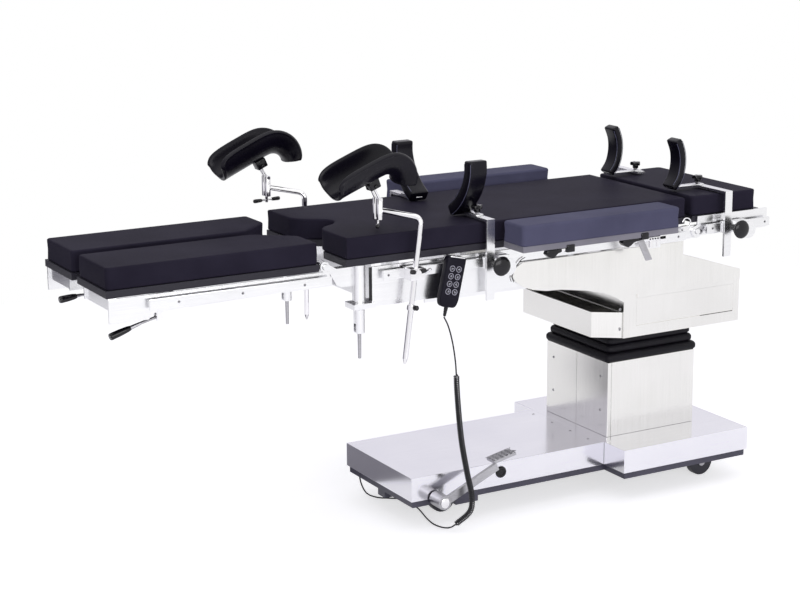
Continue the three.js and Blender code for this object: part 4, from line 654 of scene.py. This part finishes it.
def make_trough(place):
    matrix = turned_to(place)
    body = "trough_" + place
    roll = about("X", TROUGHS[place]["roll"])
    bm = trough_shape()
    bmesh.ops.transform(bm, matrix=matrix @ at_height(TROUGH_FLOOR) @ roll, verts=bm.verts)
    shell = new_piece("trough_shell_" + place, bm, body, SKIN, sharp=180)
    modified(shell, "SOLIDIFY", thickness=TROUGH_WALL * MM, offset=0)
    modified(shell, "SUBSURF", levels=2, render_levels=2)
    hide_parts("leg_trough_" + place)
    bm = bmesh.new()
    block(bm, (-17, 17), (-15, 15), (34, 62))
    rod(bm, (0, -20, 42), (0, 20, 42), 6)
    eased(bm, 3, segments=3)
    bmesh.ops.transform(bm, matrix=matrix, verts=bm.verts)
    new_piece("trough_block_" + place, bm, body, NYLON)
    bm = bmesh.new()
    for y in (-1, 1):
        rod(bm, (0, y * 11, -2), (-5, y * 9, 40), 3.2, sides=16)
    rod(bm, (0, -19, 0), (0, 19, 0), 5)
    bmesh.ops.transform(bm, matrix=matrix, verts=bm.verts)
    new_piece("trough_rods_" + place, bm, body, CHROME)


def make_post(place):
    """The bent rod with its stop collar, and the head: two short cylinders with a screw between."""
    side, spec = SIDES[place], POSTS[place]
    head = Vector(TROUGHS[place]["head"])

    def on_post(distance):
        return Vector((spec["clamp"] + distance * sin(spec["lean"]), side * POST_Y,
                       CLAMP_Z + distance * cos(spec["lean"])))

    bm = bmesh.new()
    elbow = head + Vector((0, 0, -30))
    path = rounded_path([on_post(16 - spec["tip"]), on_post(spec["rise"]), elbow], 22)
    tube(bm, path, 8, 24)
    rod(bm, on_post(-spec["tip"]), on_post(17 - spec["tip"]), 2.6, 8)
    for low, high, radius in ((-98, -86, 12), (-100, -98, 10.5), (-86, -84, 10.5)):
        rod(bm, on_post(low), on_post(high), radius, sides=32)
    level = moved(head) @ about("Z", -side * TROUGHS[place]["yaw"])
    for y in (-1, 1):
        outline = [(0, -57), (8.2, -57), (9, -56), (9, 3), (8, 4.5), (0, 4.5)]
        turned(bm, outline, level @ moved((0, y * 10, 0)), 28)
    block(bm, (-5, 5), (-7, 7), (-50, -2), level)
    rod(bm, level @ Vector((0, 0, -56)), level @ Vector((0, 0, -76)), 4.5)
    across = about("Z", TROUGHS[place]["tee"])
    ends = [level @ across @ Vector((reach, 0, -TEE_DROP)) for reach in (-30, 30)]
    rod(bm, ends[0], ends[1], 3.2, sides=16)
    piece = new_piece("bent_post_" + place, bm, "support_post_" + place, CHROME)
    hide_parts("support_post_" + place)
    bm = bmesh.new()
    grip = [(0, 18), (4.4, 18), (5.4, 22), (6.2, 40), (5.6, 45), (3.4, 47), (0, 47.6)]
    for sign in (-1, 1):
        turned(bm, grip, level @ across @ at_height(-TEE_DROP) @ facing((0, 0, 0), (sign, 0, 0)), 20)
    new_piece("tee_grips_" + place, bm, "support_post_" + place, NYLON)


for trough_place in SIDES:
    make_trough(trough_place)
    make_post(trough_place)


# Lateral and shoulder supports: curved moulded pads on sliding plates
LATERAL = {
    "near": {"bar": -465.5, "knob": (-452, 799), "pad": -480, "star": 204},
    "far": {"bar": -470, "knob": (-436, 795), "pad": -471, "star": 196},
}
SHOULDER = {
    "near": {"bar": 392.5, "knob": (414, 815), "shift": 0, "pad": 150, "star": 382},
    "far": {"bar": 380, "knob": (427, 812), "shift": -3, "pad": 174, "star": 372},
}
LATERAL_PATH = [(118, 934), (160, 962), (200, 1008), (219, 1056), (219, 1092)]
SHOULDER_PATH = [(266, 932), (287, 962), (297, 1002), (295, 1042), (280, 1082)]
LATERAL_SIZE, SHOULDER_SIZE = (60, 34), (54, 24)
# Heights of the slides, and how far they reach past the star knob's axis
PLATE = (930.3, 934.3)
STAR_REACH = 17
STAR_POINTS = 40


def strip_shape(route, across, size):
    """A curved pad: a softly rounded section pushed up its path."""
    bm = bmesh.new()
    half, thick = size[0] / 2, size[1] / 2
    places = []
    for k, here in enumerate(route):
        tangent = heading(route, k)
        turn = Matrix((across.cross(tangent), across, tangent)).transposed()
        places.append(moved(here) @ turn.to_4x4())
    swept(bm, ring(bm, rounded_corners((-thick, thick), (-half, half)), 7, 4), places)
    rim = list(dict.fromkeys(e for f in bm.faces if len(f.verts) > 6 for e in f.edges))
    bevelled(bm, rim, 5, 4, clamp=True)
    return bm


def painted_highlight_line(name, body, route, across, size, edges):
    """A thin bead along the edges of a curved pad's front, in a pale skin that paints the highlight there."""
    bm = bmesh.new()
    for out_share, across_share in edges:
        line = []
        for k in range(1, len(route) - 1):
            out = across.cross(heading(route, k))
            line.append(route[k] + out * (size[1] / 2 * out_share) + across * (size[0] / 2 * across_share))
        tube(bm, line, 0.9, 8)
    new_piece(name, bm, body, PAINTED_HIGHLIGHT_SKIN)


def make_support(kind, place, route, across, size, edges, star, plate_xs, plate_ys):
    """A curved pad with its painted highlight line, slide and star knob."""
    body = kind + "_pad_" + place
    strip = new_piece(kind + "_cushion_" + place, strip_shape(route, across, size), body, SKIN, sharp=60)
    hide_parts(body)
    painted_highlight_line(kind + "_painted_highlight_" + place, body, route, across, size, edges)
    make_star(kind + "_star_" + place, body, (*star, PLATE[1]))
    slide_plate(kind + "_slide_" + place, body, plate_xs, sorted(plate_ys))


def make_support_pads():
    for place, side in SIDES.items():
        spec = LATERAL[place]
        route = smooth_route([(spec["pad"], side * y, z) for y, z in LATERAL_PATH], 22)
        make_support("lateral", place, route, X_AXIS, LATERAL_SIZE, [(-0.96, -0.93), (0.96, -0.93)],
                     (spec["bar"], side * spec["star"]), (spec["bar"] - 14, spec["bar"] + 14),
                     (side * 118, side * (spec["star"] + STAR_REACH)))
        spec = SHOULDER[place]
        route = smooth_route([(x + spec["shift"], side * spec["pad"], z) for x, z in SHOULDER_PATH], 22)
        star_y = spec["pad"] - 7
        make_support("shoulder", place, route, Y_AXIS, SHOULDER_SIZE, [(-0.93, -0.95), (0.93, -0.95)],
                     (spec["star"], side * star_y), (266 + spec["shift"], spec["star"] + STAR_REACH),
                     (side * (star_y - 14), side * (star_y + 14)))


def slide_plate(name, body, xs, ys):
    """A flat steel slide with rounded ends under a support's star knob."""
    bm = bmesh.new()
    swept(bm, ring(bm, rounded_corners(xs, ys), 6, 4), [at_height(z) for z in PLATE])
    eased(bm, 0.7, 60)
    new_piece(name, bm, body, STEEL)


def make_star(name, body, foot):
    """A five-lobed knob on a steel nut: a round stem with the lobed head above."""
    bm = bmesh.new()
    lobes = []
    for k in range(STAR_POINTS):
        turn = 2 * pi * k / STAR_POINTS
        reach = 14.4 + 3 * cos(5 * turn)
        lobes.append((reach * cos(turn), reach * sin(turn)))
    base = moved(foot)
    rings = [(14.5, 0.86), (15.6, 0.97), (17, 1.0), (23, 1.0), (24.8, 0.95), (25.6, 0.84)]
    swept(bm, ring(bm, lobes), [base @ at_height(z) @ Matrix.Diagonal((s, s, 1, 1)) for z, s in rings])
    turned(bm, [(0, 5.4), (8.6, 5.4), (9.4, 7), (9.4, 15.5), (0, 15.5)], base, 24)
    new_piece(name, bm, body, NYLON)
    bm = bmesh.new()
    swept(bm, ring(bm, around(7, 6)), [base, base @ at_height(5.5)])
    turned(bm, [(0, 25), (3.4, 25), (3.4, 26.4), (2.6, 27), (0, 27)], base, 18)
    new_piece(name + "_nut", bm, body, DARK_STEEL)


make_support_pads()


# Frame parts that keep the CAD's shape, with softened edges
def refined(name, node, look, width):
    """A copy of a CAD node with its loose triangles merged and its hard edges rounded."""
    bm = bmesh.new()
    bm.from_mesh(frame["nodes"][node].data)
    bmesh.ops.remove_doubles(bm, verts=bm.verts, dist=2e-6)
    bmesh.ops.dissolve_limit(bm, angle_limit=radians(1), verts=bm.verts, edges=bm.edges)
    bevelled(bm, [e for e in hard_edges(bm, 35) if e.calc_length() > 1.2 * width * MM], width * MM, 2)
    piece = hung_piece(name, bm, BODY_OF[node], look, 40)
    modified(piece, "WEIGHTED_NORMAL", keep_sharp=True)
    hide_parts(node)


BODY_OF = {node: body for body, nodes in frame["record"]["behaviour"]["bodies"].items() for node in nodes}
# Each CAD node with its name here, its look and the width of its rounded edges
SINGLE_PARTS = [
    ("base_chassis", "chassis_casting", IRON, 1.6),
    ("base_cover_foot", "foot_cover_sheet", COVER, 1),
    ("base_cover_head", "head_cover_sheet", COVER, 1),
    ("column_cover", "column_sheet", SHEET, 1.0),
    ("lift_ram", "lift_ram_bar", CHROME, 0.8),
    ("tilt_cross", "tilt_cross_block", DARK_STEEL, 0.8),
    ("upper_housing", "housing_sheet", SHEET, 1.0),
    ("housing_tray", "tray_sheet", SHEET, 0.8),
    ("main_frame", "middle_frame", STEEL, 0.7),
    ("main_board", "middle_board", BOARD, 0.8),
    ("head_frame", "head_frame_plates", STEEL, 0.7),
    ("head_board", "head_rest_board", BOARD, 0.8),
    ("brake_pedal", "pedal_arm", DARK_STEEL, 0.8),
]
SIDE_PARTS = [
    ("leg_bracket", "swing_bracket", STEEL, 0.7),
    ("release_lever", "release_handle", DARK_STEEL, 0.4),
    ("leg_frame", "leg_section_frame", STEEL, 0.7),
    ("leg_board", "leg_rest_board", BOARD, 0.8),
    ("leg_lever", "leg_fold_lever", DARK_STEEL, 0.4),
    ("support_clamp", "support_clamp_block", CHROME, 0.7),
    ("lateral_bar", "lateral_flat_bar", STEEL, 0.6),
    ("shoulder_bar", "shoulder_flat_bar", STEEL, 0.6),
    ("arm_clamp", "arm_rest_clamp", STEEL, 0.7),
    ("arm_board", "arm_rest_board", PALE_BOARD, 0.8),
]
CASTER_PARTS = [
    ("caster_fork", "caster_housing", DARK_STEEL, 0.6),
    ("caster_wheel", "caster_tyre", TYRE, 1.2),
]
CASTERS = ["_head_near", "_head_far", "_foot_near", "_foot_far"]
for parts, endings in ((SINGLE_PARTS, [""]), (SIDE_PARTS, ["_near", "_far"]), (CASTER_PARTS, CASTERS)):
    for ending in endings:
        for node, name, look, width in parts:
            refined(name + ending, node + ending, look, width)


# Bellows: rubber folds between the column and the tilting housing
BELLOWS_X = 201
BELLOWS_FOOT, BELLOWS_TOP = 408.4, 503.8
# Foot, top and spread of each fold
FOLDS = [(408.5, 434, 1.045), (435, 459, 0.985), (460, 482, 0.955), (483, 503.5, 0.94)]
# A fold's outline: share of its height, and of its reach out of the valley
FOLD_SHAPE = [(0.0, 0.0), (0.06, 0.6), (0.2, 0.93), (0.42, 1.0), (0.66, 0.97), (0.88, 0.62), (1.0, 0.0)]
VALLEY = 0.055
BELLOWS_BORE = 0.75


def make_bellows():
    """Round-edged folds pushed up round the column, wide below and narrower above."""
    bm = bmesh.new()
    first = ring(bm, rounded_corners((-167, 167), (-168, 168)), 16, 4)
    profile = [(408.5, 0.99)]
    for low, high, spread in FOLDS:
        for share, reach in FOLD_SHAPE:
            profile.append((low + share * (high - low), spread - VALLEY * (1 - reach)))
    profile += [(BELLOWS_TOP, 0.8), (BELLOWS_TOP, BELLOWS_BORE), (BELLOWS_FOOT, BELLOWS_BORE)]
    places = [moved((BELLOWS_X, 0, z)) @ Matrix.Diagonal((s, s, 1, 1)) for z, s in profile]
    last = swept(bm, first, places, capped=False)
    bmesh.ops.bridge_loops(bm, edges=first + last)
    piece = new_piece("bellows_folds", bm, None, BELLOWS, sharp=75)
    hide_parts("bellows")
    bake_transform(piece)


make_bellows()


# Knobs on the rail clamps: a tapered cone that widens to a rounded face
KNOB_YS = {"lateral": 290, "shoulder": 296.3}
KNOB = [(0, -14), (9.6, -14), (9.6, 0), (11, 0.6), (13.9, 3), (20, 11), (26.2, 21), (28.2, 25.4),
        (28.6, 27.4), (28.2, 29.2), (26, 31.6), (21, 33.8), (14, 35.6), (7, 36.6), (0, 37)]


def make_knob(kind, place, x, z):
    bm = bmesh.new()
    side = SIDES[place]
    turned(bm, KNOB, facing((x, side * KNOB_YS[kind], z), (0, side, 0)), 48)
    new_piece(kind + "_knob_" + place, bm, kind + "_bar_" + place, NYLON, sharp=50)


for place in SIDES:
    make_knob("lateral", place, *LATERAL[place]["knob"])
    make_knob("shoulder", place, *SHOULDER[place]["knob"])


# Handset: a slim case with ringed keys, hung on the rail by a steel hook
HANDSET = moved((-587, -286, 837)) @ about("Y", 12.8)
CASE_HALF_WIDTH, CASE_HALF_HEIGHT = 31, 73
# The case's face and back: distance from its middle plane, and how far its outline draws in
CASE_EDGE = [(-12, 3.4), (-11.2, 1.6), (-9, 0.3), (-6, 0), (6, 0), (9, 0.3), (11.2, 1.6), (12, 3.4)]
# The way that each key's arrow points, in degrees
KEY_MARKS = [0, 180, 270, 90, 45, 315, 225, 135]
KEY_PITCH = 22
RIBS, RIB_PITCH = 6, 4.6


def make_case():
    upright = HANDSET @ at_height(-CASE_HALF_HEIGHT) @ about("X", 90)
    places = []
    for out, drawn in CASE_EDGE:
        size = Matrix.Diagonal((1 - drawn / CASE_HALF_WIDTH, 1 - drawn / CASE_HALF_HEIGHT, 1, 1))
        places.append(upright @ at_height(out) @ size)
    bm = bmesh.new()
    swept(bm, ring(bm, [(-24, -73), (24, -73), (31, -54), (31, 73), (-31, 73), (-31, -54)], 9, 5), places)
    case = new_piece("handset_case", bm, "table_top", CASE, sharp=50)
    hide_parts("handset")


def make_keys():
    """Eight round keys in two columns, each with a ring and an arrow."""
    keys, marks = bmesh.new(), bmesh.new()
    for k, turn in enumerate(KEY_MARKS):
        at = Vector(((k % 2 - 0.5) * KEY_PITCH, -11.8, -34 - (k // 2) * KEY_PITCH))
        key = HANDSET @ facing(at, (0, -1, 0))
        turned(keys, [(0, 0), (6.2, 0), (6.2, 0.8), (5.6, 1.3), (0, 1.4)], key, 24)
        turned(marks, [(7.0, 0), (8.8, 0), (8.6, 0.7), (7.2, 0.7), (7.0, 0)], key, 28)
        arrow = key @ about("Z", turn) @ moved((0.8, 0, 1.2))
        swept(marks, ring(marks, around(3, 3)), [arrow, arrow @ at_height(0.5)])
        block(marks, (-4, -2.6), (-2.6, 2.6), (0, 0.5), arrow)
    new_piece("handset_keys", keys, "table_top", NYLON)
    new_piece("handset_key_print", marks, "table_top", INK)


def make_handset():
    make_case()
    make_keys()
    bm = bmesh.new()
    ribs = [(0, 1)]
    for k in range(RIBS):
        radius, top = 6.4 - 0.35 * k, -RIB_PITCH * k
        ribs += [(radius, top + 1), (radius, top - 2.2), (radius - 1.3, top - 2.5), (radius - 1.3, top - 3.4)]
    ribs += [(3, -27.6), (0, -27.8)]
    turned(bm, ribs, HANDSET @ at_height(-2 * CASE_HALF_HEIGHT), 24)
    new_piece("handset_cord_relief", bm, "table_top", NYLON)
    bm = bmesh.new()
    block(bm, (-607, -567), (-274.5, -258.2), (818.4, 821.4))
    block(bm, (-607, -567), (-261.2, -258.2), (800, 821.4))
    block(bm, (-24, 24), (-12.6, 12.4), (-2, 1.4), HANDSET)
    block(bm, (-24, 24), (11, 14), (-40, 1.4), HANDSET)
    eased(bm, 0.6)
    new_piece("handset_hook", bm, "table_top", STEEL)


make_handset()


# Small fittings that the CAD leaves out: screws, caps, grips, latches and trims
def make_screws(name, body, axis, radius, places):
    """Round screw heads with a dark hexagon socket, all facing one way."""
    heads, sockets = bmesh.new(), bmesh.new()
    outline = [(0, 0), (radius, 0), (radius, radius * 0.25), (radius * 0.85, radius * 0.4), (0, radius * 0.4)]
    for at in places:
        here = facing(at, axis)
        turned(heads, outline, here, 20)
        heights = [here @ at_height(radius * share) for share in (0.3, 0.43)]
        swept(sockets, ring(sockets, around(radius * 0.45, 6)), heights)
    new_piece(name, heads, body, DARK_STEEL)
    new_piece(name + "_sockets", sockets, body, NYLON)


def plate_piece(name, body, look, outline, ys, corner=0.0):
    """A flat part drawn in X and Z and given its thickness along Y."""
    bm = bmesh.new()
    across = about("X", 90)
    edges = ring(bm, outline, corner, 3)
    swept(bm, edges, [moved((0, y, 0)) @ across for y in sorted(ys, reverse=True)])
    eased(bm, 0.5)
    new_piece(name, bm, body, look)


def box_piece(name, body, look, boxes, edge=0.5):
    bm = bmesh.new()
    for xs, ys, zs in boxes:
        block(bm, xs, ys, zs)
    eased(bm, edge)
    new_piece(name, bm, body, look)


RAIL_SCREW, HINGE_BOLT, COVER_SCREW = 5, 11, 4
LEG_RAIL = [(x, 254.05, 804.5) for x in (-1421, -1236, -1050)]
MIDDLE_RAIL = [(x, 268.05, 804.5) for x in (-796, -420, 60, 214)]
HEAD_RAIL = [(x, 274.35, 818) for x in (340, 545)]
HEAD_HINGE = [(306, 256.3, 811)]


def make_all_screws():
    for place, side in SIDES.items():
        rows = [("leg_rail_screws_", "leg_" + place, RAIL_SCREW, LEG_RAIL),
                ("middle_rail_screws_", "table_top", RAIL_SCREW, MIDDLE_RAIL),
                ("head_rail_screws_", "head_section", RAIL_SCREW, HEAD_RAIL),
                ("head_hinge_bolt_", "head_section", HINGE_BOLT, HEAD_HINGE)]
        for name, body, radius, spots in rows:
            make_screws(name + place, body, (0, side, 0), radius, [(x, side * y, z) for x, y, z in spots])
    make_screws("column_screws", "base", (-1, 0, 0), COVER_SCREW,
                [(34, y, z) for y in (-130, 130) for z in (248, 358)])
    make_screws("base_screws", "base", (0, 0, 1), COVER_SCREW,
                [(-25, y, 167.6) for y in (-151, -54, 49, 156)])
    make_screws("tray_flange_screws", BODY_OF["housing_tray"], (0, -1, 0), COVER_SCREW,
                [(20, -243, z) for z in (533, 596)])


# Middle, length and slope in degrees of the grip on each leg lever
GRIPS = {"near": ((-1560.3, -180, 722.3), 60, 17), "far": ((-1608, 80, 769.3), 48, 6)}


def make_grips():
    """Black tapered grips pushed on the leg levers."""
    for place, (middle, length, slope) in GRIPS.items():
        ahead = Vector((cos(radians(slope)), 0, sin(radians(slope))))
        outline = [(0, -1), (7.6, -1), (9.6, 1.6), (10, 6), (9.6, length * 0.5), (8.2, length - 8),
                   (6.4, length + 1), (0, length + 1)]
        bm = bmesh.new()
        turned(bm, outline, facing(Vector(middle) - ahead * length / 2, ahead), 24)
        new_piece("leg_lever_grip_" + place, bm, "leg_grip_" + place, NYLON)


def make_base_fittings():
    bm = bmesh.new()
    cap = [(0, 0), (17, 0), (18, 1.6), (16.4, 4.4), (10.4, 5), (8.6, 3), (0, 2.6)]
    turned(bm, cap, facing((-380, -204, 137), (0, -1, 0)), 32)
    new_piece("socket_cap", bm, "base", NYLON)
    box_piece("caster_block", "base", IRON, [((-540, -462), (-207, -170), (62, 94))], 1.5)
    pedal = moved((-610, 0, 98))
    hub = [(0, 262.6), (13, 262.6), (15, 264), (15, 266), (12, 267.4), (0, 267.4)]
    bm = bmesh.new()
    turned(bm, hub, pedal @ facing((0, 0, 0), (0, -1, 0)), 28)
    new_piece("pedal_hub_nut", bm, "pedal", BRIGHT_STEEL)
    tread = pedal @ moved((177.7, -206.5, 86.3)) @ about("Y", -12)
    bm = bmesh.new()
    for k in range(13):
        for sign in (-1, 1):
            middle = Vector((6 + 5.5 * k, -22, 10.4))
            reach = Vector((10, sign * 18, 0))
            rod(bm, tread @ (middle - reach), tread @ (middle + reach), 1.1, sides=8)
    new_piece("pedal_tread_ribs", bm, "pedal", DARK_STEEL)


SADDLE_EDGE = [(-334, 800), (-346, 795), (-360, 781), (-371, 765), (-377.6, 747), (-373, 731)]


def make_housing_trims():
    body = BODY_OF["upper_housing"]
    box_piece("housing_end_gasket", body, NYLON, [((472.8, 474.6), (-249, 249), (658.8, 660.8))], 0.3)
    box_piece("housing_slot_line", body, NYLON, [((322, 449), (-250.4, -249), (538.2, 540.2))], 0.3)
    for place, side in SIDES.items():
        bm = bmesh.new()
        tube(bm, smooth_route([(x, side * 256.4, z) for x, z in SADDLE_EDGE], 24), 1.2, 8)
        new_piece("saddle_edge_trim_" + place, bm, body, NYLON)


# The far arm board stands higher than the near one
ARM_RISE = {"near": 0, "far": 18}
LATCH = [(-354, 836), (-344, 827), (-334, 822), (-325, 823),
         (-314, 834), (-300, 838), (-300, 846), (-350, 846)]
LATCH_TAIL = [(-84, 838), (-76, 829), (-64, 824), (-54, 828),
              (-42, 837), (-12, 841), (-12, 847), (-80, 847)]
LATCH_FOOT = 834
RELEASE_STRAP = [(12, 828), (36, 828), (70, 762), (47, 760)]
PINS, PIN_PITCH = 6, 9.5
CATCH_HOOK = [(232, 846), (240, 856), (252, 857), (262, 850), (262, 838), (254, 830)]
COLLAR_DROP = 91


def make_arm_fittings(place, side, band):
    """Latches, ratchet bar and release strap under an arm board."""
    rise = ARM_RISE[place]
    arm, clamp = "arm_rest_" + place, BODY_OF["arm_clamp_" + place]
    for name, outline, ys in (("", LATCH, band(380, 395.6)), ("tail_", LATCH_TAIL, band(372, 392))):
        plate_piece("arm_latch_" + name + place, arm, NYLON, [(x, z + rise) for x, z in outline], ys)
    low = LATCH_FOOT + rise
    ys = band(378, 398)
    box_piece("arm_latch_blocks_" + place, arm, NYLON,
              [((-283, -256), ys, (low, low + 22)), ((-20, 6), ys, (low + 8, low + 28))], 2)
    box_piece("arm_latch_link_" + place, arm, BRIGHT_STEEL,
              [((-301, -282), band(382, 393), (low + 4, low + 12))], 1)
    plate_piece("arm_release_strap_" + place, clamp, DARK_STEEL, RELEASE_STRAP, band(328, 332), 1)
    box_piece("arm_ratchet_bar_" + place, clamp, BAR_STEEL,
              [((8, 120), band(300, 330), (819, 829)), ((100, 120), band(290, 330), (815, 832))], 0.8)
    bm = bmesh.new()
    for k in range(PINS):
        x = 62 + PIN_PITCH * k
        rod(bm, (x, side * 328, 824), (x, side * 331, 824), 2.6, sides=12)
    new_piece("arm_ratchet_pins_" + place, bm, clamp, NYLON)
    bm = bmesh.new()
    rod(bm, (72, side * 318, 822), (72, side * 318, 797), 8)
    rod(bm, (96, side * 318, 822), (96, side * 318, 797), 3, sides=16)
    new_piece("arm_clamp_bosses_" + place, bm, clamp, BRIGHT_STEEL)


def make_post_locks(place, side):
    """Locking handles on a leg support's clamp and stop collar."""
    spec, body = POSTS[place], "support_clamp_" + place
    middle = Vector((spec["clamp"], side * (POST_Y + 20), CLAMP_Z + 12))
    bm = bmesh.new()
    grip = [(0, 9), (4.6, 9), (6.4, 11), (6.8, 20), (6, 24), (0, 25)]
    for sign in (-1, 1):
        turned(bm, grip, facing(middle, (sign, 0, 0.15)), 20)
    collar = Vector((spec["clamp"] - COLLAR_DROP * sin(spec["lean"]), side * POST_Y, CLAMP_Z - COLLAR_DROP))
    wing = [(0, 10), (5, 10), (7.4, 12), (7.4, 21), (5.6, 23), (0, 23.4)]
    turned(bm, wing, facing(collar, (0.5, side, 0)), 20)
    new_piece("post_lock_grips_" + place, bm, body, NYLON)
    bm = bmesh.new()
    rod(bm, middle + Vector((-10, 0, 0)), middle + Vector((10, 0, 0)), 3.4, sides=16)
    rod(bm, middle - Vector((0, side * 6, 0)), middle + Vector((0, side * 4, 0)), 7)
    new_piece("post_lock_screw_" + place, bm, body, CHROME)


def make_clamp_fittings():
    for place, side in SIDES.items():
        def band(inner, outer):
            return side * inner, side * outer

        make_arm_fittings(place, side, band)
        make_post_locks(place, side)
        bm = bmesh.new()
        tube(bm, smooth_route([(x, side * 264, z) for x, z in CATCH_HOOK], 24), 2.2, 12)
        block(bm, (232, 250), band(258, 268), (820, 834))
        new_piece("hinge_catch_" + place, bm, "table_top", CHROME)
        box_piece("frame_end_block_" + place, "table_top", NYLON,
                  [((-846, -838.4), band(245.4, 249.6), (733, 828))], 0.4)


make_all_screws()
make_grips()
make_base_fittings()
make_housing_trims()
make_clamp_fittings()


# Lights and stage, in scene metres: a pale room all round, a broad lamp overhead and another at
# the near side
FLOOR_HALF, FLOOR_GAP = 3.2, 0.0004
# How brightly the floor glows to the camera and to mirrors
SEEN_GLOW, MIRRORED_GLOW = 0.62, 0.46


def set_world():
    world = bpy.data.worlds.new("pale_room")
    bpy.context.scene.world = world
    world.use_nodes = True
    tree = world.node_tree
    tree.nodes.clear()
    rays = add(tree, "LightPath").outputs
    way = add(tree, "TexCoord").outputs["Generated"]
    lit = add(tree, "VectorMath", {0: way, 1: (0.2, -0.5, 0.7)}, operation="DOT_PRODUCT")
    level = maths(tree, "ADD", lit.outputs["Value"], 0.7)
    walls = ramp(tree, level, (0.12, "#5e5c66"), (0.5, "#e8e6ee"), (0.95, "#ffffff"))
    colours = {"room": (walls, 1.0), "light": (linear("#f7f6fb"), 0.5), "white": ((1, 1, 1, 1), 1.0)}
    shade = {key: add(tree, "Background", {"Color": colour, "Strength": strength}).outputs[0]
             for key, (colour, strength) in colours.items()}
    glossy = maths(tree, "MAXIMUM", rays["Is Glossy Ray"], rays["Is Transmission Ray"])
    mirrored = add(tree, "MixShader", {"Fac": glossy, 1: shade["light"], 2: shade["room"]}).outputs[0]
    seen = add(tree, "MixShader", {"Fac": rays["Is Camera Ray"], 1: mirrored, 2: shade["white"]}).outputs[0]
    add(tree, "OutputWorld", {"Surface": seen})


def area_lamp(name, place, aim, size, power, colour):
    lamp = bpy.data.lights.new(name, "AREA")
    lamp.shape = "RECTANGLE"
    lamp.size, lamp.size_y = size
    lamp.energy = power
    lamp.color = linear(colour)[:3]
    turn = (Vector(aim) - Vector(place)).to_track_quat("-Z", "Y").to_matrix().to_4x4()
    placed(name, lamp).matrix_world = moved(place) @ turn


def make_floor():
    """Pale paper that glows to the camera and to mirrors, so that it takes only a faint shadow."""
    bm = bmesh.new()
    bmesh.ops.create_grid(bm, x_segments=1, y_segments=1, size=FLOOR_HALF, matrix=at_height(-FLOOR_GAP))
    mesh = bpy.data.meshes.new("studio_floor")
    bm.to_mesh(mesh)
    bm.free()
    floor = placed("studio_floor", mesh)
    material, tree, shader = finish("studio_floor_paper", "#e6e6ea", 0.95)
    rays = add(tree, "LightPath").outputs
    seen = maths(tree, "MULTIPLY", rays["Is Camera Ray"], SEEN_GLOW)
    mirrored = maths(tree, "MULTIPLY", rays["Is Glossy Ray"], MIRRORED_GLOW)
    shader.inputs["Emission Color"].default_value = (1, 1, 1, 1)
    tree.links.new(maths(tree, "ADD", seen, mirrored), shader.inputs["Emission Strength"])
    mesh.materials.append(material)


def make_card():
    """A grey card on the floor that only mirrors see: it shades the faces towards the foot end."""
    mesh = bpy.data.meshes.new("studio_card")
    mesh.from_pydata([(0.15, 0.35, 0), (-0.3, 1.25, 0), (-1.4, 1.0, 0), (-0.9, 0.1, 0)], [], [(0, 1, 2, 3)])
    card = placed("studio_card", mesh)
    card.visible_camera = False
    card.visible_diffuse = False
    card.visible_shadow = False
    mesh.materials.append(finish("studio_card_paper", "#a3a1a8", 0.95)[0])


set_world()
area_lamp("overhead_lamp", (-0.4, -0.6, 4.2), aim=(0, 0, 0.8), size=(4.5, 3.2), power=32, colour="#ffffff")
area_lamp("near_lamp", (-0.6, -5.2, 1.9), aim=(0, 0, 0.7), size=(4.5, 2.0), power=80, colour="#fdfcff")
make_floor()
make_card()
bpy.context.scene.view_settings.view_transform = "Standard"

bpy.context.view_layer.update()
